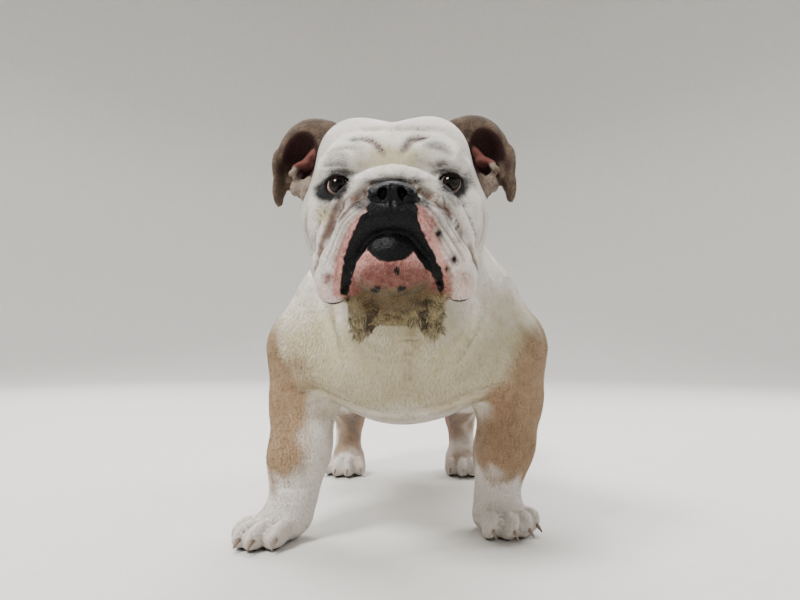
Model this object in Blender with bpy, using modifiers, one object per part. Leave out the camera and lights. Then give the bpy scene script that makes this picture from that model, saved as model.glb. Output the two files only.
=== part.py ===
# English bulldog standing square, life size. Metres, +Z up, facing -Y, the dog's left at +X.
# The body is set down as round forms, fused by Remesh and eased onto the smooth union of the
# same forms. Wrinkles and lips are strokes in that union. Thin cuts then part it into its nodes.

import math

import bmesh
import bpy
import numpy as np
from mathutils import Euler, Matrix, Vector

# Driving dimensions of the form
EYE_LEVEL = 0.404
EYE_PLANE_Y = -0.195
HEAD_OFFSET_X = -0.015
HEAD_ROLL = math.radians(-1.2)
EYE_HALF_SPAN = 0.0575
EYE_SINK = 0.0105
EYE_RADIUS = 0.0120
HEAD_BLEND = 0.025
FOREPAW = (0.137, -0.018, 30)
HINDPAW = (0.1025, 0.385, 8)
TOES = ((-0.0255, -0.016, -15), (-0.0088, -0.031, -5), (0.0088, -0.031, 5), (0.0255, -0.016, 15))
TOE_HEIGHT = 0.0165
TOE_RADII = (0.0118, 0.0215, 0.0182)
CLAW_START = (0.0150, -0.0010)
CLAW_END = (0.0275, -0.0100)
CLAW_RADII = (0.0034, 0.0012)

# The stance: one forefoot a step ahead of the other, both forelegs leaning to the dog's right
FORE_STEP = 0.022
STEP_HEIGHT = 0.24
FORE_LEAN = -0.020
FORE_TWIST = 0.18
LEAN_HEIGHT = 0.17

# The cuts that part the body, each plane a point and the way it faces
CUT_GAP = 0.0003
HEAD_CUT = ((0, -0.090, 0.365), (0, 0.919, -0.394))
NECK_CUT = ((0, -0.035, 0.335), (0, 0.821, -0.571))
CHEST_CUT = ((0, 0.170, 0), (0, 1, 0))
RUMP_CUT = ((0, 0.262, 0), (0, 1, 0))
SHOULDER_CUT = ((0.085, 0, 0.150), (0.828, 0, -0.561))
HIP_CUT = ((0.050, 0, 0.170), (0.852, 0, -0.524))
FOREARM_REACH_Y = 0.130
ELBOW_Z = 0.150
WRIST_Z = 0.052
KNEE_Z = 0.150
HEEL_Z = 0.050
EAR_CUT = ((0.0745, 0, 0.0475), (0.9645, 0, 0.2640))
EAR_LOW = -0.012
EAR_FRONT = 0.046
NOSE_BOX = ((-0.0285, -0.08, -0.0305), (0.0285, -0.0400, -0.0048))
TAIL_BOX = ((-0.040, 0.4675, 0.235), (0.040, 0.56, 0.350))
JAW_BACK = 0.030
MOUTH_LINE = ((0, -0.0545), (0.0130, -0.0556), (0.0215, -0.0614), (0.0262, -0.0710), (0.0332, -0.0824),
              (0.0422, -0.0960), (0.0485, -0.1090), (0.0500, -0.1200), (0.0500, -0.1750))

# Fineness of the meshes
FORM_VOXEL = 0.005
HEAD_VOXEL = 0.0026
HEAD_TRIANGLES = 5600
BODY_TRIANGLES = 5200

FACE = Matrix.Translation((HEAD_OFFSET_X, EYE_PLANE_Y, EYE_LEVEL)) @ Matrix.Rotation(HEAD_ROLL, 4, "Y")
EYE = Vector((EYE_HALF_SPAN, EYE_SINK, 0))


class Ball:
    """An ellipsoid, turned by Euler angles in degrees."""

    def __init__(self, centre, radii, blend=0.01, turn=(0, 0, 0)):
        self.centre, self.radii, self.blend = np.array(centre), np.array(radii), blend
        self.turn = Euler([math.radians(a) for a in turn]).to_matrix()
        self.middle, self.reach = self.centre, max(radii)

    def distance(self, p):
        q = (p - self.centre) @ np.array(self.turn) / self.radii
        k0 = np.linalg.norm(q, axis=1)
        k1 = np.linalg.norm(q / self.radii, axis=1)
        return k0 * (k0 - 1) / np.maximum(k1, 1e-9)

    def add_to(self, bm, frame, mirror):
        place = Matrix.Translation(self.centre) @ self.turn.to_4x4() @ Matrix.Diagonal((*self.radii, 1))
        bmesh.ops.create_icosphere(bm, subdivisions=3, radius=1, matrix=frame @ mirror @ place @ mirror)


class Limb:
    """A round limb that tapers from start to end."""

    def __init__(self, start, end, r0, r1, blend=0.01):
        self.start, self.end, self.r0, self.r1, self.blend = np.array(start), np.array(end), r0, r1, blend
        self.middle = (self.start + self.end) / 2
        self.reach = np.linalg.norm(self.end - self.start) / 2 + max(r0, r1)

    def distance(self, p):
        along = self.end - self.start
        t = np.clip((p - self.start) @ along / (along @ along), 0, 1)
        return np.linalg.norm(p - self.start - t[:, None] * along, axis=1) - (self.r0 + (self.r1 - self.r0) * t)

    def add_to(self, bm, frame, mirror):
        length = np.linalg.norm(self.end - self.start)
        for t in np.linspace(0, 1, int(length / min(self.r0, self.r1) / 0.5) + 2):
            place = Matrix.Translation(self.start + (self.end - self.start) * t)
            radius = self.r0 + (self.r1 - self.r0) * t
            bmesh.ops.create_icosphere(bm, subdivisions=3, radius=radius, matrix=frame @ mirror @ place @ mirror)


class Group:
    """Forms fused with each other first, so that the group as a whole can meet the rest in a crisp line."""

    def __init__(self, forms, blend):
        self.forms, self.blend = forms, blend
        low = np.min([form.middle - form.reach for form in forms], axis=0)
        high = np.max([form.middle + form.reach for form in forms], axis=0)
        self.middle, self.reach = (low + high) / 2, np.linalg.norm(high - low) / 2

    def distance(self, p):
        d = np.full(len(p), 0.5)
        for form in self.forms:
            blend_in(d, p, form, fuse)
        return d

    def add_to(self, bm, frame, mirror):
        for form in self.forms:
            form.add_to(bm, frame, mirror)


class Fold:
    """A soft ridge, or a groove where height is negative, along a line of points."""

    def __init__(self, path, width, height, fade=0.25):
        self.path, self.width, self.height, self.fade = np.array(rounded(path)), width, height, fade
        self.middle = self.path.mean(0)
        self.reach = np.linalg.norm(self.path - self.middle, axis=1).max() + 2.5 * width

    def lift(self, p):
        steps = self.path[1:] - self.path[:-1]
        lengths = np.linalg.norm(steps, axis=1)
        run = np.concatenate([[0], np.cumsum(lengths)])
        best, at = np.full(len(p), 1e9), np.zeros(len(p))
        for i, step in enumerate(steps):
            t = np.clip((p - self.path[i]) @ step / (step @ step), 0, 1)
            away = np.linalg.norm(p - self.path[i] - t[:, None] * step, axis=1)
            near = away < best
            best[near] = away[near]
            at[near] = (run[i] + t[near] * lengths[i]) / run[-1]
        ends = np.clip(np.minimum(at, 1 - at) / self.fade, 0, 1) if self.fade else 1.0
        return self.height * np.sqrt(ends) * np.exp(-((best / self.width) ** 2))


class Clay:
    """Forms in one frame, mirrored in x, with hollows cut into them, rims laid on those, and folds."""

    def __init__(self, forms, hollows=(), rims=(), folds=()):
        self.forms, self.hollows, self.rims, self.folds = forms, hollows, rims, folds
        self.low = np.min([form.middle - form.reach for form in forms], axis=0) - 0.05
        self.high = np.max([form.middle + form.reach for form in forms], axis=0) + 0.05

    def distance(self, p, hollowed=True):
        q = p * (1, 1, 1)
        q[:, 0] = np.abs(q[:, 0])
        d = np.full(len(q), 0.5)
        inside = ((q > self.low) & (q < self.high)).all(1)
        d[inside] = self.near_distance(q[inside], hollowed)
        return d

    def near_distance(self, q, hollowed):
        d = np.full(len(q), 0.5)
        for form in self.forms:
            blend_in(d, q, form, fuse)
        if hollowed:
            for form in self.hollows:
                blend_in(d, q, form, carve)
            for form in self.rims:
                blend_in(d, q, form, fuse)
            for fold in self.folds:
                near = np.linalg.norm(q - fold.middle, axis=1) < fold.reach
                d[near] -= fold.lift(q[near])
        return d

    def rough(self, bm, frame, forms):
        for form in forms:
            form.add_to(bm, frame, Matrix.Identity(4))
            if form.middle[0]:
                form.add_to(bm, frame, Matrix.Diagonal((-1, 1, 1, 1)))


def blend_in(d, q, form, how):
    near = np.linalg.norm(q - form.middle, axis=1) < form.reach + form.blend + 0.03
    d[near] = how(d[near], form.distance(q[near]), form.blend)


def fuse(a, b, k):
    h = np.maximum(k - np.abs(a - b), 0) / k
    return np.minimum(a, b) - h * h * k / 4


def carve(a, b, k):
    h = np.maximum(k - np.abs(a + b), 0) / k
    return np.maximum(a, -b) + h * h * k / 4


def rounded(points):
    """The line with its corners cut, each point a tuple of any length."""
    points = [np.array(point, float) for point in points]
    middles = [(a + b) / 2 for a, b in zip(points, points[1:])]
    bends = [(a + 2 * b + c) / 4 for a, b, c in zip(middles, points[1:-1], middles[1:])]
    woven = [row for pair in zip(middles, bends) for row in pair]
    return [points[0], *woven, middles[-1], points[-1]]


def chain(points, radii, blend):
    """Limbs end to end along a rounded line."""
    line = rounded([(*point, radius) for point, radius in zip(points, radii)])
    return [Limb(a[:3], b[:3], a[3], b[3], blend) for a, b in zip(line, line[1:])]


def on_eye(x, z, lift):
    """A point over the eyeball, x to the side and z up from its middle, lifted off its surface."""
    depth = math.sqrt(max((EYE_RADIUS + lift) ** 2 - x * x - z * z, 0))
    return (EYE.x + x, EYE.y - depth, EYE.z + z)


def head_clay():
    skull = [
        Ball((0, 0.085, 0.017), (0.080, 0.080, 0.065)),
        Ball((0.043, 0.068, 0.036), (0.044, 0.062, 0.048), 0.02),
        Ball((0.0, 0.032, 0.020), (0.052, 0.034, 0.044), 0.02),
        Ball((0.046, 0.015, 0.029), (0.034, 0.022, 0.016), 0.015, (0, 15, 0)),
        Ball((0.062, 0.058, -0.030), (0.039, 0.055, 0.060), 0.02),
        Ball((0.064, 0.028, -0.026), (0.031, 0.026, 0.030), 0.015),
    ]
    roll = [
        Ball((0.030, 0.000, -0.020), (0.030, 0.024, 0.024), 0.015),
        Group(chain(
            [(-0.014, -0.0305, 0.003), (0, -0.0305, 0.004), (0.0205, -0.0295, 0.001), (0.0384, -0.0245, -0.009),
             (0.054, -0.0155, -0.025), (0.0645, -0.006, -0.041), (0.0720, 0.004, -0.058), (0.0760, 0.013, -0.076)],
            [0.0095, 0.0095, 0.0095, 0.0095, 0.0090, 0.0086, 0.0080, 0.0060], 0.004), 0.014),
    ]
    muzzle = [Group([
        Ball((0, -0.008, -0.037), (0.054, 0.036, 0.034)),
        Ball((0.022, -0.030, -0.040), (0.026, 0.024, 0.020), 0.010),
        Limb((0.034, -0.027, -0.050), (0.053, -0.020, -0.084), 0.022, 0.0215, 0.012),
        Limb((0.053, -0.020, -0.084), (0.0625, -0.011, -0.104), 0.0215, 0.0145, 0.006),
        Limb((0.0625, -0.011, -0.104), (0.066, 0.026, -0.080), 0.0145, 0.024, 0.012),
        Ball((0, -0.044, -0.0160), (0.0200, 0.0130, 0.0110), 0.006),
        Ball((0.0160, -0.0460, -0.0195), (0.0088, 0.0105, 0.0088), 0.005),
        Ball((0, -0.042, -0.036), (0.0220, 0.0150, 0.0190), 0.008),
    ], 0.006)]
    jaw = [Group([
        Ball((0, -0.026, -0.090), (0.043, 0.032, 0.026)),
        Ball((0, -0.040, -0.0735), (0.0255, 0.0180, 0.0180), 0.006),
        Ball((0, 0.036, -0.098), (0.050, 0.055, 0.042), 0.02),
        Ball((0, 0.010, -0.118), (0.040, 0.036, 0.030), 0.02),
        Limb((0.036, -0.014, -0.112), (0.034, 0.006, -0.146), 0.013, 0.0100, 0.012),
    ], 0.003)]
    ear = [
        Ball((0.094, 0.100, 0.040), (0.024, 0.026, 0.040), 0.010, (0, -18, 0)),
        *chain([(0.060, 0.088, 0.072), (0.088, 0.094, 0.083), (0.110, 0.096, 0.076), (0.126, 0.098, 0.052)],
               [0.012, 0.0125, 0.0120, 0.0090], 0.010),
        Ball((0.1300, 0.096, 0.034), (0.0060, 0.019, 0.026), 0.008, (0, 5, 18)),
        Ball((0.1325, 0.094, 0.009), (0.0050, 0.0125, 0.0170), 0.008, (0, 3, 18)),
    ]
    lids = [Ball(EYE, (EYE_RADIUS + 0.0020,) * 3, 0.008)]
    hollows = [
        Ball(EYE + Vector((-0.0006, -0.0105, -0.0010)), (0.0118, 0.0105, 0.0092), 0.0015, (0, 8, 0)),
        Ball((0.1045, 0.074, 0.046), (0.0175, 0.028, 0.029), 0.005, (0, -20, 0)),
        Ball((0.0118, -0.0590, -0.0175), (0.0042, 0.0110, 0.0062), 0.0015, (0, -12, 0)),
    ]
    upper = [(-0.0135, 0.002), (-0.0085, 0.0075), (0, 0.0093), (0.0085, 0.0062), (0.0135, -0.0005)]
    lower = [(-0.0135, -0.001), (-0.0085, -0.0078), (0.0005, -0.0112), (0.0085, -0.0082), (0.0130, -0.0015)]
    rims = chain([on_eye(x, z, 0.0018) for x, z in upper], [0.0018, 0.0022, 0.0024, 0.0022, 0.0018], 0.004)
    rims += chain([on_eye(x, z, 0.0013) for x, z in lower], [0.0016, 0.0018, 0.0019, 0.0018, 0.0016], 0.004)
    rims += [
        Ball((0.0970, 0.080, 0.008), (0.0100, 0.011, 0.016), 0.008, (0, -15, 0)),
        Ball((0.1045, 0.078, 0.029), (0.0055, 0.008, 0.0070), 0.006),
    ]
    lip = [(0, -0.060, -0.0552), (0.0130, -0.058, -0.0562), (0.0215, -0.055, -0.0620), (0.0255, -0.052, -0.0710),
           (0.0325, -0.050, -0.0824), (0.0415, -0.044, -0.0960), (0.0475, -0.034, -0.1090), (0.047, -0.015, -0.1140)]
    folds = [
        Fold([(0, -0.002, 0.010), (0, 0.006, 0.050), (0, 0.035, 0.080), (0, 0.080, 0.090)], 0.009, -0.0040, 0.3),
        Fold([(0, -0.060, -0.010), (0, -0.062, -0.030), (0, -0.058, -0.050)], 0.0018, -0.0018, 0.15),
        Fold(lip, 0.0035, -0.0060, 0),
        Fold([(0.024, -0.040, -0.006), (0.036, -0.036, -0.019), (0.049, -0.027, -0.036),
              (0.060, -0.016, -0.053), (0.068, -0.008, -0.070)], 0.0035, -0.0030, 0.2),
        Fold([(0.040, -0.006, -0.004), (0.053, 0.000, -0.018), (0.066, 0.007, -0.032), (0.077, 0.016, -0.050),
              (0.085, 0.022, -0.072)], 0.0040, -0.0045, 0.25),
        Fold([(0.012, -0.002, 0.030), (0.018, 0.000, 0.042), (0.034, 0.004, 0.046)], 0.0045, -0.0022),
        Fold([(0, -0.058, -0.086), (0, -0.056, -0.110)], 0.0028, -0.0018),
        Fold([(0.0130, -0.057, -0.0200), (0.0185, -0.054, -0.0235), (0.0240, -0.048, -0.0245)], 0.0016, -0.0028, 0.3),
    ]
    return Clay(skull + roll + muzzle + jaw + ear + lids, hollows, rims, folds)


def toes(x, y, toe_out):
    """The middle of each toe and the way it points, from the inside of the paw outwards."""
    turn = Matrix.Rotation(math.radians(toe_out), 3, "Z")
    for side, ahead, fan in TOES:
        yield turn @ Vector((side, ahead, TOE_HEIGHT)) + Vector((x, y, 0)), toe_out + fan


def paw(x, y, toe_out, width):
    """A compact round paw: a low pad and four arched toes, with soles that the floor cuts flat."""
    turn = Matrix.Rotation(math.radians(toe_out), 3, "Z")
    pad = Ball(turn @ Vector((0, 0.012, 0.022)) + Vector((x, y, 0)), (width, 0.038, 0.025), 0.015, (0, 0, toe_out))
    return [pad, *(Ball(at, TOE_RADII, 0.005, (0, 0, way)) for at, way in toes(x, y, toe_out))]


def body_clay():
    torso = [
        Ball((0, 0.075, 0.266), (0.136, 0.165, 0.124)),
        Ball((0.098, 0.010, 0.256), (0.058, 0.072, 0.096), 0.035, (0, -12, 0)),
        Ball((0, -0.048, 0.215), (0.104, 0.058, 0.064), 0.04),
        Ball((0, 0.055, 0.325), (0.080, 0.105, 0.062), 0.04),
        Ball((0, 0.275, 0.316), (0.086, 0.125, 0.086), 0.05),
        Ball((0, 0.205, 0.256), (0.108, 0.140, 0.086), 0.04),
        Ball((0, 0.380, 0.296), (0.086, 0.082, 0.082), 0.04),
    ]
    neck = [
        Limb((0, -0.080, 0.385), (0, 0.035, 0.330), 0.084, 0.102, 0.03),
        Limb((0, -0.100, 0.305), (0, -0.020, 0.245), 0.055, 0.096, 0.04),
        Ball((0.022, -0.105, 0.278), (0.048, 0.045, 0.050), 0.03),
    ]
    tail = chain([(0, 0.430, 0.325), (0, 0.470, 0.312), (0, 0.490, 0.282), (0, 0.494, 0.250)],
                 [0.026, 0.021, 0.015, 0.009], 0.015)
    foreleg = [
        Limb((0.128, 0.000, 0.230), (0.133, 0.018, 0.160), 0.050, 0.039, 0.025),
        Limb((0.132, 0.016, 0.165), (0.128, 0.002, 0.105), 0.040, 0.037, 0.02),
        Limb((0.128, 0.002, 0.105), (0.125, -0.002, 0.050), 0.036, 0.031, 0.02),
        *paw(*FOREPAW, 0.034),
    ]
    hindleg = [
        Ball((0.088, 0.360, 0.235), (0.052, 0.088, 0.100), 0.03, (-20, 0, 0)),
        Limb((0.098, 0.318, 0.190), (0.100, 0.345, 0.150), 0.050, 0.038, 0.03),
        Limb((0.100, 0.345, 0.150), (0.100, 0.425, 0.100), 0.036, 0.025, 0.02),
        Limb((0.100, 0.425, 0.100), (0.1025, 0.408, 0.040), 0.0245, 0.0235, 0.02),
        *paw(*HINDPAW, 0.030),
    ]
    return Clay(torso + neck + tail + foreleg + hindleg)


BODY, HEAD = body_clay(), head_clay()
TO_FACE = np.array(FACE.inverted())


def stance(p):
    """How far the stance moves each point: one forefoot is ahead, and both lean to the dog's right."""
    low = np.clip(1 - p[:, 2] / STEP_HEIGHT, 0, 1)
    fore = np.clip((0.15 - p[:, 1]) / 0.05, 0, 1)
    ahead = FORE_STEP * np.tanh(p[:, 0] / 0.04) * low ** 2 * (3 - 2 * low) * fore
    foot = np.clip(1 - p[:, 2] / LEAN_HEIGHT, 0, 1)
    lean = (FORE_LEAN * foot ** 1.5 + FORE_TWIST * p[:, 1] * foot) * fore
    return np.stack([lean, ahead, 0 * ahead], 1)


def field(p, hollowed=True):
    """Distance to the dog's skin, negative inside."""
    local = p @ TO_FACE[:3, :3].T + TO_FACE[:3, 3]
    return fuse(BODY.distance(p - stance(p), hollowed), HEAD.distance(local, hollowed), HEAD_BLEND)


# Meshes

def mesh_from(bm, name):
    mesh = bpy.data.meshes.new(name)
    bm.to_mesh(mesh)
    bm.free()
    return mesh


def points_of(mesh):
    flat = np.empty(len(mesh.vertices) * 3, np.float32)
    mesh.vertices.foreach_get("co", flat)
    return flat.reshape(-1, 3).astype(float)


def evaluated(mesh, *modifiers):
    """The mesh after these modifiers, each given as its kind and a dictionary of settings."""
    obj = bpy.data.objects.new("work", mesh)
    bpy.context.scene.collection.objects.link(obj)
    for kind, settings in modifiers:
        modifier = obj.modifiers.new(kind.lower(), kind)
        for key, value in settings.items():
            setattr(modifier, key, value)
    graph = bpy.context.evaluated_depsgraph_get()
    done = bpy.data.meshes.new_from_object(obj.evaluated_get(graph))
    bpy.data.objects.remove(obj)
    return done


def settle(mesh, rounds, reach, hollowed=True):
    """Moves each point down the field's slope until it lies on the surface."""
    step = 0.0003
    p = points_of(mesh)
    for _ in range(rounds):
        d = field(p, hollowed)
        slope = np.stack([field(p + row, hollowed) - d for row in np.eye(3) * step], 1) / step
        move = -slope * (d / np.maximum((slope ** 2).sum(1), 0.3))[:, None]
        far = np.linalg.norm(move, axis=1)
        p += move * np.minimum(1, reach / np.maximum(far, 1e-9))[:, None]
    mesh.vertices.foreach_set("co", p.astype(np.float32).ravel())
    mesh.update()


def voxels(size, smooth=2):
    return ("REMESH", {"mode": "VOXEL", "voxel_size": size}), ("SMOOTH", {"iterations": smooth})


def joined(mesh, clay, frame, forms):
    """The mesh with these rough forms laid over it."""
    bm = bmesh.new()
    bm.from_mesh(mesh)
    clay.rough(bm, frame, forms)
    return mesh_from(bm, "joined")


def nothing():
    return bpy.data.meshes.new("nothing")


def fewer(mesh, triangles):
    mesh = evaluated(mesh, ("TRIANGULATE", {}))
    return evaluated(mesh, ("DECIMATE", {"ratio": triangles / len(mesh.polygons)}))


def rough_dog():
    """All the forms in one closed skin, without the hollows of the head."""
    body = joined(nothing(), BODY, Matrix.Identity(4), BODY.forms)
    p = points_of(body)
    p += stance(p)
    body.vertices.foreach_set("co", p.astype(np.float32).ravel())
    dog = evaluated(joined(body, HEAD, FACE, HEAD.forms), *voxels(FORM_VOXEL))
    settle(dog, 3, 0.01, False)
    return dog


def head_skin(dog):
    """The front of the dog, finer, with ear cups, eye openings, nostrils, lids and wrinkles."""
    point, normal = Vector(HEAD_CUT[0]), Vector(HEAD_CUT[1])
    bm = bmesh.new()
    bm.from_mesh(dog)
    geometry = bm.verts[:] + bm.edges[:] + bm.faces[:]
    cut = bmesh.ops.bisect_plane(bm, geom=geometry, plane_co=point + normal * 0.02, plane_no=normal, clear_outer=True)
    edges = [e for e in cut["geom_cut"] if isinstance(e, bmesh.types.BMEdge)]
    bmesh.ops.holes_fill(bm, edges=edges)
    front = evaluated(mesh_from(bm, "front"), *voxels(0.0035, 0))
    cutter = bpy.data.objects.new("hollows", joined(nothing(), HEAD, FACE, HEAD.hollows))
    bpy.context.scene.collection.objects.link(cutter)
    front = evaluated(front, ("BOOLEAN", {"operation": "DIFFERENCE", "solver": "MANIFOLD", "object": cutter}))
    bpy.data.objects.remove(cutter)
    front = evaluated(joined(front, HEAD, FACE, HEAD.rims), *voxels(HEAD_VOXEL, 1))
    for _ in range(2):
        settle(front, 2, 0.003)
        front = evaluated(front, ("SMOOTH", {"iterations": 1, "factor": 0.4}))
    settle(front, 1, 0.001)
    return evaluated(front, *voxels(HEAD_VOXEL, 0))


# Cutters and nodes

def block(low, high, planes=(), frame=Matrix.Identity(4)):
    """A box in the given frame, kept on the back side of each plane given in world space."""
    bm = bmesh.new()
    size = Vector(high) - Vector(low)
    place = frame @ Matrix.Translation((Vector(low) + Vector(high)) / 2) @ Matrix.Diagonal((*size, 1))
    bmesh.ops.create_cube(bm, size=1, matrix=place)
    for point, normal in planes:
        geometry = bm.verts[:] + bm.edges[:] + bm.faces[:]
        cut = bmesh.ops.bisect_plane(bm, geom=geometry, plane_co=point, plane_no=normal, clear_outer=True)
        edges = [e for e in cut["geom_cut"] if isinstance(e, bmesh.types.BMEdge)]
        bmesh.ops.contextual_create(bm, geom=edges)
    bmesh.ops.recalc_face_normals(bm, faces=bm.faces)
    return bm


def before(plane, side=1):
    """The plane as a limit of what lies behind it, half the gap back, mirrored in x where side is -1."""
    point, normal = Vector(plane[0]), Vector(plane[1]).normalized()
    point -= normal * CUT_GAP / 2
    return (Vector((point.x * side, point.y, point.z)), Vector((normal.x * side, normal.y, normal.z)))


def beyond(plane, side=1):
    """The plane as a limit of what lies in front of it."""
    return before((plane[0], -Vector(plane[1])), side)


def wider(plane_limit, gap=CUT_GAP):
    """The same limit moved out by the gap, for the cutter that makes room for a neighbour."""
    point, normal = plane_limit
    return (point + normal * gap, normal)


def cutter_from(bm, name):
    obj = bpy.data.objects.new(name, mesh_from(bm, name))
    CUTTERS.objects.link(obj)
    obj.display_type = "WIRE"
    obj.hide_render = True
    return obj


def node(name, skin, keep, drop=(), colour="white coat"):
    """A part of the skin: what lies in the keep block, less every drop cutter."""
    obj = bpy.data.objects.new(name, skin.copy())
    DOG.objects.link(obj)
    for operation, tool in [("INTERSECT", keep)] + [("DIFFERENCE", tool) for tool in drop]:
        if tool:
            modifier = obj.modifiers.new(operation.lower(), "BOOLEAN")
            modifier.operation = operation
            modifier.solver = "EXACT"
            modifier.object = tool
    colour_node(obj, colour)
    return obj


COLOURS = {
    "white coat": ((0.78, 0.75, 0.68), 0.75),
    "fawn coat": ((0.52, 0.34, 0.20), 0.75),
    "ear coat": ((0.30, 0.17, 0.11), 0.75),
    "skin": ((0.62, 0.38, 0.32), 0.6),
    "nose leather": ((0.02, 0.02, 0.022), 0.35),
    "eye": ((0.05, 0.03, 0.02), 0.1),
    "claw": ((0.24, 0.20, 0.17), 0.45),
}


def colour_node(obj, colour):
    material = bpy.data.materials.new(obj.name)
    material.use_nodes = True
    shader = material.node_tree.nodes["Principled BSDF"]
    tint, roughness = COLOURS[colour]
    shader.inputs["Base Color"].default_value = (*tint, 1)
    shader.inputs["Roughness"].default_value = roughness
    shader.inputs["Metallic"].default_value = 0
    obj.data.materials.clear()
    obj.data.materials.append(material)


def mouth_prism(grow):
    """The lower jaw's place in the head: the area under the line of the mouth, run back to the throat."""
    line = [Vector((x, 0, z)) for x, z in MOUTH_LINE]
    outline = [Vector((-v.x, 0, v.z)) for v in line[:0:-1]] + line
    moved = []
    for i, v in enumerate(outline):
        along = outline[min(i + 1, len(outline) - 1)] - outline[max(i - 1, 0)]
        out = Vector((-along.z, 0, along.x)).normalized()
        moved.append(v + out * grow)
    bm = bmesh.new()
    front = [bm.verts.new(v + Vector((0, -0.10, 0))) for v in moved]
    face = bm.faces.new(front)
    run = bmesh.ops.extrude_face_region(bm, geom=[face])["geom"]
    verts = [v for v in run if isinstance(v, bmesh.types.BMVert)]
    bmesh.ops.translate(bm, verts=verts, vec=(0, 0.10 + JAW_BACK + grow, 0))
    bmesh.ops.transform(bm, matrix=FACE, verts=bm.verts)
    bmesh.ops.recalc_face_normals(bm, faces=bm.faces)
    return bm


def eyeball(side, grow):
    bm = bmesh.new()
    place = FACE @ Matrix.Translation((EYE.x * side, EYE.y, EYE.z))
    bmesh.ops.create_icosphere(bm, subdivisions=2, radius=EYE_RADIUS + grow, matrix=place)
    return bm


def claw(side, at, way, grow):
    """A blunt horn cone out of the front of a toe, moved along with the stance."""
    ahead = Matrix.Rotation(math.radians(way), 3, "Z") @ Vector((0, -1, 0))
    root, tip = (at + ahead * reach + Vector((0, 0, drop)) for reach, drop in (CLAW_START, CLAW_END))
    root.x, tip.x = root.x * side, tip.x * side
    shift = Vector(stance(np.array([at * Vector((side, 1, 1))]))[0])
    along = tip - root
    place = Matrix.Translation((root + tip) / 2 + shift) @ along.to_track_quat("Z", "X").to_matrix().to_4x4()
    bm = bmesh.new()
    bmesh.ops.create_cone(bm, cap_ends=True, segments=10, radius1=CLAW_RADII[0] + grow,
                          radius2=CLAW_RADII[1] + grow, depth=along.length + 2 * grow, matrix=place)
    return bm


def solid_node(bm, name, colour):
    obj = bpy.data.objects.new(name, mesh_from(bm, name))
    DOG.objects.link(obj)
    colour_node(obj, colour)
    return obj


def make_paw(skin, name, side, place, keep, colour):
    """A paw with the sockets of its four claws, and the claws."""
    sockets = bmesh.new()
    for number, (at, way) in enumerate(toes(*place), 1):
        solid_node(claw(side, at, way, 0), f"claw_{name}_{number}", "claw")
        room = mesh_from(claw(side, at, way, CUT_GAP), "room")
        sockets.from_mesh(room)
    node(f"paw_{name}", skin, keep, [cutter_from(sockets, f"claw_sockets_{name}")], colour)


def make_leg(skin, name, side, limits, joint_z, foot_z, place):
    """Upper leg, lower leg and paw, each between two level cuts."""
    wide_low, wide_high = (-1, -1, 0), (1, 1, 1)
    for part, low, high in (("upper", joint_z, 1), ("lower", foot_z, joint_z)):
        planes = limits + [beyond(((0, 0, low), (0, 0, 1))), before(((0, 0, high), (0, 0, 1)))]
        keep = cutter_from(block(wide_low, wide_high, planes), f"region_{part}_leg_{name}")
        node(f"leg_{part}_{name}", skin, keep, colour="fawn coat" if name.startswith("fore") else "white coat")
    planes = limits + [before(((0, 0, foot_z), (0, 0, 1)))]
    keep = cutter_from(block(wide_low, wide_high, planes), f"region_paw_{name}")
    make_paw(skin, name, side, place, keep, "white coat")


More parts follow.
